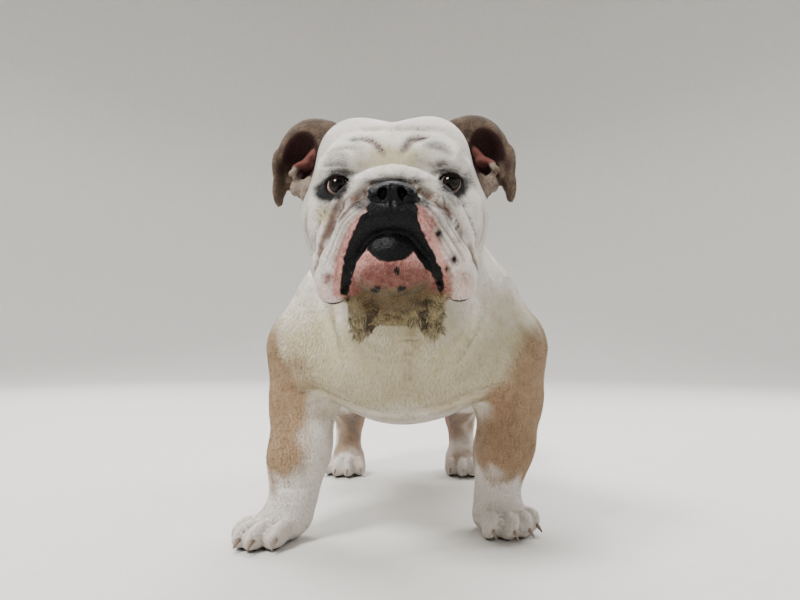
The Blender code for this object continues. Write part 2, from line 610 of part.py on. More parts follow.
def make_dog():
    dog = rough_dog()
    head_mesh = fewer(head_skin(dog), HEAD_TRIANGLES)
    body_mesh = fewer(evaluated(dog, *voxels(FORM_VOXEL, 0)), BODY_TRIANGLES)
    low, high = (-1, -1, -1), (1, 1, 1)

    # Legs, and the room they take out of chest and rump
    rooms = {"fore": [], "hind": []}
    for side_name, side in (("left", 1), ("right", -1)):
        level = beyond(((0, 0, 0), (side, 0, 0)))
        back = before(((0, FOREARM_REACH_Y, 0), (0, 1, 0)))
        fore = [beyond(SHOULDER_CUT, side), back, level]
        hind = [beyond(HIP_CUT, side), beyond(RUMP_CUT), level]
        make_leg(body_mesh, f"fore_{side_name}", side, fore, ELBOW_Z, WRIST_Z, FOREPAW)
        make_leg(body_mesh, f"hind_{side_name}", side, hind, KNEE_Z, HEEL_Z, HINDPAW)
        room = block(low, high, [wider(limit) for limit in fore[:2]] + [level])
        rooms["fore"].append(cutter_from(room, f"room_foreleg_{side_name}"))
        room = block(low, high, [wider(hind[0]), wider(hind[1], 0.05), level])
        rooms["hind"].append(cutter_from(room, f"room_hindleg_{side_name}"))

    # Neck and trunk
    planes = [beyond(HEAD_CUT), before(NECK_CUT)]
    node("neck", body_mesh, cutter_from(block(low, high, planes), "region_neck"))
    planes = [beyond(NECK_CUT), before(CHEST_CUT)]
    node("chest", body_mesh, cutter_from(block(low, high, planes), "region_chest"), rooms["fore"])
    planes = [beyond(CHEST_CUT), before(RUMP_CUT)]
    node("abdomen", body_mesh, cutter_from(block(low, high, planes), "region_abdomen"))
    tail_low, tail_high = (Vector(corner) for corner in TAIL_BOX)
    gap = Vector((CUT_GAP, CUT_GAP, CUT_GAP))
    room = cutter_from(block(tail_low - gap, tail_high), "room_tail")
    keep = cutter_from(block(low, high, [beyond(RUMP_CUT)]), "region_rump")
    node("rump", body_mesh, keep, rooms["hind"] + [room])
    node("tail", body_mesh, cutter_from(block(tail_low, tail_high), "region_tail"))

    # Head
    head_limit = before(HEAD_CUT)
    nose_low, nose_high = (Vector(corner) for corner in NOSE_BOX)
    drop = [cutter_from(mouth_prism(CUT_GAP), "room_lower_jaw"),
            cutter_from(block(nose_low - gap, nose_high + gap, frame=FACE), "room_nose")]
    turn = FACE.to_3x3()
    for side_name, side in (("left", 1), ("right", -1)):
        point, normal = beyond(EAR_CUT, side)
        limits = [(FACE @ point, turn @ normal)]
        ear_low = (-0.2 if side < 0 else 0.0, EAR_FRONT, EAR_LOW)
        ear_high = (0.0 if side < 0 else 0.2, 0.2, 0.2)
        keep = cutter_from(block(ear_low, ear_high, limits + [head_limit], FACE), f"region_ear_{side_name}")
        node(f"ear_{side_name}", head_mesh, keep, colour="ear coat")
        room = block(Vector(ear_low) - gap, Vector(ear_high) + gap, [wider(limit) for limit in limits], FACE)
        drop.append(cutter_from(room, f"room_ear_{side_name}"))
        solid_node(eyeball(side, 0), f"eye_{side_name}", "eye")
        drop.append(cutter_from(eyeball(side, CUT_GAP), f"room_eye_{side_name}"))
    node("head", head_mesh, cutter_from(block(low, high, [head_limit]), "region_head"), drop)
    node("lower_jaw", head_mesh, cutter_from(mouth_prism(0), "region_lower_jaw"), colour="skin")
    keep = cutter_from(block(nose_low, nose_high, frame=FACE), "region_nose")
    node("nose", head_mesh, keep, colour="nose leather")


def stand_on_origin():
    """Moves the dog so that the bottom centre of its box is the origin."""
    graph = bpy.context.evaluated_depsgraph_get()
    corners = []
    for obj in DOG.objects:
        mesh = obj.evaluated_get(graph).to_mesh()
        corners += [points_of(mesh).min(0), points_of(mesh).max(0)]
        obj.evaluated_get(graph).to_mesh_clear()
    low, high = np.min(corners, axis=0), np.max(corners, axis=0)
    shift = Matrix.Translation((-(low[0] + high[0]) / 2, -(low[1] + high[1]) / 2, -low[2]))
    for mesh in {obj.data for collection in (DOG, CUTTERS) for obj in collection.objects}:
        mesh.transform(shift)


def collection_named(name):
    collection = bpy.data.collections.new(name)
    bpy.context.scene.collection.children.link(collection)
    return collection


for old in list(bpy.data.objects):
    bpy.data.objects.remove(old)
DOG, CUTTERS = collection_named("english_bulldog"), collection_named("cutters")
make_dog()
stand_on_origin()
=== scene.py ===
import math

import bmesh
import bpy
import numpy as np
from mathutils import Euler, Matrix, Vector


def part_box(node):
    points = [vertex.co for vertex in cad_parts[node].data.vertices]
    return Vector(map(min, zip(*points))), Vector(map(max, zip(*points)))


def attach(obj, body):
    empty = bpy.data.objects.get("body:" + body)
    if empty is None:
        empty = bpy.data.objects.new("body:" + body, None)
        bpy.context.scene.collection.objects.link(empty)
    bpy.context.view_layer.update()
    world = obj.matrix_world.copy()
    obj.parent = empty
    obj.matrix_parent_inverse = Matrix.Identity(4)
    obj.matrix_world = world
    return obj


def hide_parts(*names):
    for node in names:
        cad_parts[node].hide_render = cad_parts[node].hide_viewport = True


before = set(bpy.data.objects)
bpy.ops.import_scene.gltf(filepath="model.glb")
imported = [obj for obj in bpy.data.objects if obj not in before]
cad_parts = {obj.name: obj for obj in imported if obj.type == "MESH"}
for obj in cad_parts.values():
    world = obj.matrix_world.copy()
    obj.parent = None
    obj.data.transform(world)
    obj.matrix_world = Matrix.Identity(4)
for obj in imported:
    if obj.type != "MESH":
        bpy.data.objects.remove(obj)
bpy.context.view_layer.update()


# Round forms, their smooth union, and the frames they stand in

class Ball:                                             # an ellipsoid, turned by degrees
    def __init__(self, centre, radii, blend=0.01, turn=(0, 0, 0)):
        self.centre, self.radii, self.blend = np.array(centre), np.array(radii), blend
        self.turn = Euler([math.radians(a) for a in turn]).to_matrix()
        self.middle, self.reach = self.centre, max(radii)

    def distance(self, p):
        q = (p - self.centre) @ np.array(self.turn) / self.radii
        k0 = np.linalg.norm(q, axis=1)
        k1 = np.linalg.norm(q / self.radii, axis=1)
        return k0 * (k0 - 1) / np.maximum(k1, 1e-9)

    def addTo(self, bm, place, mirror):
        own = Matrix.Translation(self.centre) @ self.turn.to_4x4() @ Matrix.Diagonal((*self.radii, 1))
        bmesh.ops.create_icosphere(bm, subdivisions=3, radius=1, matrix=place @ mirror @ own @ mirror)


class Limb:                                             # a round limb that tapers from start to end
    def __init__(self, start, end, r0, r1, blend=0.01):
        self.start, self.end, self.r0, self.r1, self.blend = np.array(start), np.array(end), r0, r1, blend
        self.middle = (self.start + self.end) / 2
        self.reach = np.linalg.norm(self.end - self.start) / 2 + max(r0, r1)

    def distance(self, p):
        along = self.end - self.start
        t = np.clip((p - self.start) @ along / (along @ along), 0, 1)
        return np.linalg.norm(p - self.start - t[:, None] * along, axis=1) - (self.r0 + (self.r1 - self.r0) * t)

    def addTo(self, bm, place, mirror):
        length = np.linalg.norm(self.end - self.start)
        for t in np.linspace(0, 1, int(length / min(self.r0, self.r1) / 0.7) + 2):
            own = Matrix.Translation(self.start + (self.end - self.start) * t)
            radius = self.r0 + (self.r1 - self.r0) * t
            bmesh.ops.create_icosphere(bm, subdivisions=2, radius=radius, matrix=place @ mirror @ own @ mirror)


class Group:                                            # forms fused first, so they meet the rest crisply
    def __init__(self, forms, blend):
        self.forms, self.blend = forms, blend
        low = np.min([form.middle - form.reach for form in forms], axis=0)
        high = np.max([form.middle + form.reach for form in forms], axis=0)
        self.middle, self.reach = (low + high) / 2, np.linalg.norm(high - low) / 2

    def distance(self, p):
        d = np.full(len(p), 0.5)
        for form in self.forms:
            blendIn(d, p, form, fuse)
        return d

    def addTo(self, bm, place, mirror):
        for form in self.forms:
            form.addTo(bm, place, mirror)


class Fold:                                             # a soft ridge, or a groove where height is negative
    def __init__(self, path, width, height, fade=0.25, side=0):
        self.path, self.width, self.height, self.fade = np.array(rounded(path)), width, height, fade
        self.middle, self.side = self.path.mean(0), side        # side 1 or -1 keeps it to one side
        self.reach = np.linalg.norm(self.path - self.middle, axis=1).max() + 2.5 * width

    def lift(self, p):
        steps = self.path[1:] - self.path[:-1]
        lengths = np.linalg.norm(steps, axis=1)
        run = np.concatenate([[0], np.cumsum(lengths)])
        best, at = np.full(len(p), 1e9), np.zeros(len(p))
        for i, step in enumerate(steps):
            t = np.clip((p - self.path[i]) @ step / (step @ step), 0, 1)
            away = np.linalg.norm(p - self.path[i] - t[:, None] * step, axis=1)
            near = away < best
            best[near] = away[near]
            at[near] = (run[i] + t[near] * lengths[i]) / run[-1]
        ends = np.clip(np.minimum(at, 1 - at) / self.fade, 0, 1) if self.fade else 1.0
        return self.height * np.sqrt(ends) * np.exp(-((best / self.width) ** 2))


class Clay:                                             # forms mirrored in x, with hollows, rims and folds
    def __init__(self, forms, hollows=(), rims=(), folds=()):
        self.forms, self.hollows, self.rims, self.folds = forms, hollows, rims, folds
        self.low = np.min([form.middle - form.reach for form in forms], axis=0) - 0.05
        self.high = np.max([form.middle + form.reach for form in forms], axis=0) + 0.05

    def distance(self, p, hollowed=True):
        q = p.copy()
        q[:, 0] = np.abs(q[:, 0])
        d = np.full(len(q), 0.5)
        inside = ((q > self.low) & (q < self.high)).all(1)
        d[inside] = self.nearDistance(q[inside], np.sign(p[inside, 0]), hollowed)
        return d

    def nearDistance(self, q, side, hollowed):
        d = np.full(len(q), 0.5)
        for form in self.forms:
            blendIn(d, q, form, fuse)
        if hollowed:
            for form in self.hollows:
                blendIn(d, q, form, carve)
            for form in self.rims:
                blendIn(d, q, form, fuse)
            for fold in self.folds:
                near = np.linalg.norm(q - fold.middle, axis=1) < fold.reach
                if fold.side:
                    near &= side == fold.side
                d[near] -= fold.lift(q[near])
        return d

    def rough(self, bm, place, forms):
        for form in forms:
            form.addTo(bm, place, Matrix.Identity(4))
            if form.middle[0]:
                form.addTo(bm, place, Matrix.Diagonal((-1, 1, 1, 1)))


def blendIn(d, q, form, how):
    near = np.linalg.norm(q - form.middle, axis=1) < form.reach + form.blend + 0.03
    d[near] = how(d[near], form.distance(q[near]), form.blend)


def fuse(a, b, k):
    h = np.maximum(k - np.abs(a - b), 0) / k
    return np.minimum(a, b) - h * h * k / 4


def carve(a, b, k):
    h = np.maximum(k - np.abs(a + b), 0) / k
    return np.maximum(a, -b) + h * h * k / 4


def rounded(points):                                    # the line with its corners cut
    points = [np.array(point, float) for point in points]
    middles = [(a + b) / 2 for a, b in zip(points, points[1:])]
    bends = [(a + 2 * b + c) / 4 for a, b, c in zip(middles, points[1:-1], middles[1:])]
    woven = [row for pair in zip(middles, bends) for row in pair]
    return [points[0], *woven, middles[-1], points[-1]]


def chain(points, radii, blend):                        # limbs end to end along a rounded line
    line = rounded([(*point, radius) for point, radius in zip(points, radii)])
    return [Limb(a[:3], b[:3], a[3], b[3], blend) for a, b in zip(line, line[1:])]


# Where the head, eyes and feet are. The same sizes as the solids'.

head = {
    "eyeLevel": 0.404,
    "eyePlaneY": -0.195,
    "offsetX": -0.015,
    "roll": -1.2,            # degrees
    "blend": 0.025,
    "eyeSpan": 0.0575,       # from the middle of the face to an eye
    "eyeSink": 0.0105,
    "eyeRadius": 0.0120,
}
feet = {
    "fore": (0.137, -0.018, 30),     # out from the middle, along, toes turned out by
    "hind": (0.1025, 0.385, 8),
    "toes": ((-0.0255, -0.016, -15), (-0.0088, -0.031, -5), (0.0088, -0.031, 5), (0.0255, -0.016, 15)),
    "toeHeight": 0.0165,
    "toeRadii": (0.0118, 0.0215, 0.0182),
}
stanceSizes = {
    "step": 0.022,           # one forefoot ahead of the other
    "stepHeight": 0.24,
    "lean": -0.020,          # both forefeet to the dog's right
    "twist": 0.18,
    "leanHeight": 0.17,
}
face = (Matrix.Translation((head["offsetX"], head["eyePlaneY"], head["eyeLevel"]))
        @ Matrix.Rotation(math.radians(head["roll"]), 4, "Y"))
eye = Vector((head["eyeSpan"], head["eyeSink"], 0))
eyeLow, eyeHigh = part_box("eye_left")
toRow = Matrix.Translation((eyeLow + eyeHigh) / 2 - face @ eye)      # from the form's frame to the row's


def onEye(x, z, lift):                                  # a point over the eyeball, lifted off its surface
    depth = math.sqrt(max((head["eyeRadius"] + lift) ** 2 - x * x - z * z, 0))
    return (eye.x + x, eye.y - depth, eye.z + z)


def skullForms():
    return [
        Ball((0, 0.085, 0.017), (0.080, 0.080, 0.0665)),
        Ball((0.0408, 0.068, 0.036), (0.044, 0.062, 0.048), 0.02),
        Ball((0.0, 0.032, 0.020), (0.052, 0.034, 0.044), 0.02),
        Ball((0.046, 0.015, 0.029), (0.034, 0.022, 0.016), 0.015, (0, 15, 0)),
        Ball((0.062, 0.058, -0.030), (0.039, 0.055, 0.060), 0.02),
        Ball((0.064, 0.028, -0.026), (0.031, 0.026, 0.030), 0.015),
    ]


def earForms():
    return [
        Ball((0.094, 0.100, 0.040), (0.024, 0.026, 0.040), 0.010, (0, -18, 0)),
        *chain([(0.060, 0.088, 0.072), (0.088, 0.094, 0.083), (0.110, 0.096, 0.076), (0.126, 0.098, 0.052)],
               [0.012, 0.0125, 0.0120, 0.0090], 0.010),
        Ball((0.1300, 0.096, 0.034), (0.0060, 0.019, 0.026), 0.008, (0, 5, 18)),
        Ball((0.1325, 0.094, 0.009), (0.0050, 0.0125, 0.0170), 0.008, (0, 3, 18)),
    ]


def earRidge():                                         # the fleshy mass between the head and the ear's knob
    return [
        Ball((0.0940, 0.094, 0.0500), (0.0110, 0.0130, 0.0060), 0.010, (0, 38, 0)),
        Ball((0.1035, 0.088, 0.0400), (0.0110, 0.0090, 0.0060), 0.007, (0, 12, 0)),
        Ball((0.1105, 0.0810, 0.0355), (0.0052, 0.0065, 0.0055), 0.004),
    ]


def earLobes():
    return [
        Ball((0.0970, 0.080, 0.009), (0.0100, 0.011, 0.015), 0.008, (0, -15, 0)),
        Ball((0.1095, 0.082, 0.0140), (0.0088, 0.0085, 0.0120), 0.003, (0, -14, 0)),
        Ball((0.1130, 0.0770, 0.0292), (0.0068, 0.0070, 0.0050), 0.004, (0, 25, 0)),
    ]


def headClay():
    skull = skullForms()
    roll = [
        Ball((0.030, 0.000, -0.020), (0.030, 0.024, 0.024), 0.015),
        Group(chain(
            [(-0.014, -0.0305, 0.003), (0, -0.0305, 0.004), (0.0205, -0.0295, 0.001), (0.0384, -0.0245, -0.009),
             (0.054, -0.0155, -0.025), (0.0645, -0.006, -0.041), (0.0720, 0.004, -0.058), (0.0760, 0.013, -0.076)],
            [0.0095, 0.0095, 0.0095, 0.0095, 0.0090, 0.0086, 0.0080, 0.0060], 0.004), 0.014),
    ]
    muzzle = [Group([
        Ball((0, -0.008, -0.037), (0.054, 0.036, 0.034)),
        Ball((0.022, -0.030, -0.040), (0.026, 0.024, 0.020), 0.010),
        Limb((0.034, -0.027, -0.050), (0.053, -0.020, -0.084), 0.022, 0.0215, 0.012),
        Limb((0.053, -0.020, -0.084), (0.0625, -0.011, -0.104), 0.0215, 0.0145, 0.006),
        Limb((0.0625, -0.011, -0.104), (0.066, 0.026, -0.080), 0.0145, 0.024, 0.012),
        Ball((0, -0.044, -0.0160), (0.0200, 0.0130, 0.0110), 0.006),
        Ball((0.0160, -0.0460, -0.0195), (0.0088, 0.0105, 0.0088), 0.005),
        Ball((0, -0.042, -0.036), (0.0220, 0.0150, 0.0190), 0.008),
    ], 0.006)]
    jaw = [Group([
        Ball((0, -0.026, -0.090), (0.043, 0.032, 0.026)),
        Ball((0, -0.040, -0.0735), (0.0255, 0.0180, 0.0180), 0.006),
        Ball((0, 0.036, -0.098), (0.050, 0.055, 0.042), 0.02),
        Ball((0, 0.010, -0.118), (0.040, 0.036, 0.021), 0.012),
        Limb((0.037, -0.014, -0.114), (0.036, -0.001, -0.144), 0.0125, 0.0115, 0.008),
        Limb((0, -0.006, -0.1385), (0.026, -0.008, -0.1350), 0.0060, 0.0080, 0.004),
    ], 0.003)]
    lids = [Ball(eye, (head["eyeRadius"] + 0.0020,) * 3, 0.008)]
    hollows = [
        Ball(eye + Vector((-0.0004, -0.0105, 0.0000)), (0.0126, 0.0110, 0.0110), 0.0015, (0, 8, 0)),
        Ball((0.1065, 0.072, 0.045), (0.0190, 0.030, 0.029), 0.004, (0, -20, 0)),
        Ball((0.0096, -0.0580, -0.0200), (0.0038, 0.0120, 0.0068), 0.0012, (0, -16, 0)),
        Ball((0.0140, -0.0560, -0.0244), (0.0052, 0.0095, 0.0025), 0.0010, (0, -8, 0)),
    ]
    upper = [(-0.0134, 0.0010), (-0.0095, 0.0080), (0, 0.0106), (0.0092, 0.0074), (0.0138, -0.0004)]
    lower = [(-0.0134, -0.0004), (-0.0092, -0.0090), (0.0003, -0.0124), (0.0090, -0.0092), (0.0136, -0.0010)]
    rims = chain([onEye(x, z, 0.0014) for x, z in upper], [0.0015, 0.0018, 0.0020, 0.0018, 0.0015], 0.003)
    rims += chain([onEye(x, z, 0.0010) for x, z in lower], [0.0013, 0.0015, 0.0016, 0.0015, 0.0013], 0.003)
    rims += earLobes() + earRidge()
    lip = [(0, -0.060, -0.0552), (0.0130, -0.058, -0.0562), (0.0215, -0.055, -0.0620), (0.0255, -0.052, -0.0710),
           (0.0325, -0.050, -0.0824), (0.0415, -0.044, -0.0960), (0.0475, -0.034, -0.1090), (0.047, -0.015, -0.1140)]
    folds = [
        Fold([(0, -0.002, 0.010), (0, 0.006, 0.050), (0, 0.035, 0.080), (0, 0.080, 0.090)], 0.009, -0.0014, 0.3),
        Fold([(0, -0.0545, -0.0095), (0, -0.0568, -0.0160), (0, -0.0560, -0.0240), (0, -0.0570, -0.0360), (0, -0.0545, -0.0460)],
             0.0017, -0.0034, 0.10),
        Fold(lip, 0.0035, -0.0060, 0),
        Fold([(0.024, -0.040, -0.006), (0.036, -0.036, -0.019), (0.049, -0.027, -0.036),
              (0.060, -0.016, -0.053), (0.068, -0.008, -0.070)], 0.0035, -0.0030, 0.2),
        Fold([(0.040, -0.006, -0.004), (0.053, 0.000, -0.018), (0.066, 0.007, -0.032), (0.077, 0.016, -0.050),
              (0.085, 0.022, -0.072)], 0.0040, -0.0045, 0.25),
        Fold([(0.012, -0.002, 0.030), (0.018, 0.000, 0.042), (0.034, 0.004, 0.046)], 0.0045, -0.0022),
        Fold([(0, -0.0578, -0.0850), (0, -0.0574, -0.0950), (0, -0.0540, -0.1100)], 0.0020, -0.0032),
        Fold([(0.0150, -0.0555, -0.0250), (0.0200, -0.0545, -0.0238), (0.0240, -0.0500, -0.0215)], 0.0014, -0.0034, 0.2),
        Fold([(0.0045, -0.0556, -0.0290), (0.0100, -0.0552, -0.0292), (0.0160, -0.0545, -0.0280), (0.0235, -0.0500, -0.0262)],
             0.0016, -0.0020, 0.2),
    ]
    return Clay(skull + roll + muzzle + jaw + earForms() + lids, hollows, rims, folds)


def toes(x, y, toeOut):
    turn = Matrix.Rotation(math.radians(toeOut), 3, "Z")
    for side, ahead, fan in feet["toes"]:
        yield turn @ Vector((side, ahead, feet["toeHeight"])) + Vector((x, y, 0)), toeOut + fan


def paw(x, y, toeOut, width):
    turn = Matrix.Rotation(math.radians(toeOut), 3, "Z")
    pad = Ball(turn @ Vector((0, 0.012, 0.022)) + Vector((x, y, 0)), (width, 0.038, 0.025), 0.015, (0, 0, toeOut))
    return [pad, *(Ball(at, feet["toeRadii"], 0.005, (0, 0, way)) for at, way in toes(x, y, toeOut))]


def bodyClay():
    torso = [
        Ball((0, 0.075, 0.266), (0.136, 0.165, 0.124)),
        Ball((0.098, 0.010, 0.256), (0.058, 0.072, 0.096), 0.035, (0, -12, 0)),
        Ball((0, -0.048, 0.215), (0.104, 0.058, 0.064), 0.04),
        Ball((0, 0.055, 0.325), (0.080, 0.105, 0.062), 0.04),
        Ball((0, 0.275, 0.316), (0.086, 0.125, 0.086), 0.05),
        Ball((0, 0.205, 0.256), (0.108, 0.140, 0.086), 0.04),
        Ball((0, 0.380, 0.296), (0.086, 0.082, 0.082), 0.04),
    ]
    neck = [
        Limb((0, -0.080, 0.385), (0, 0.035, 0.330), 0.084, 0.102, 0.03),
        Limb((0, -0.100, 0.305), (0, -0.020, 0.245), 0.055, 0.096, 0.04),
        Ball((0.022, -0.105, 0.278), (0.048, 0.045, 0.050), 0.03),
    ]
    tail = chain([(0, 0.430, 0.325), (0, 0.470, 0.312), (0, 0.490, 0.282), (0, 0.494, 0.250)],
                 [0.026, 0.021, 0.015, 0.009], 0.015)
    foreleg = [
        Limb((0.128, 0.000, 0.230), (0.133, 0.018, 0.160), 0.050, 0.039, 0.025),
        Limb((0.132, 0.016, 0.165), (0.128, 0.002, 0.105), 0.040, 0.037, 0.02),
        Limb((0.128, 0.002, 0.105), (0.125, -0.002, 0.050), 0.036, 0.031, 0.02),
        *paw(*feet["fore"], 0.034),
    ]
    hindleg = [
        Ball((0.088, 0.360, 0.235), (0.052, 0.088, 0.100), 0.03, (-20, 0, 0)),
        Limb((0.098, 0.318, 0.190), (0.100, 0.345, 0.150), 0.050, 0.038, 0.03),
        Limb((0.100, 0.345, 0.150), (0.100, 0.425, 0.100), 0.036, 0.025, 0.02),
        Limb((0.100, 0.425, 0.100), (0.1025, 0.408, 0.040), 0.0245, 0.0235, 0.02),
        *paw(*feet["hind"], 0.030),
    ]
    return Clay(torso + neck + tail + foreleg + hindleg)


# Finer folds that only the skin has

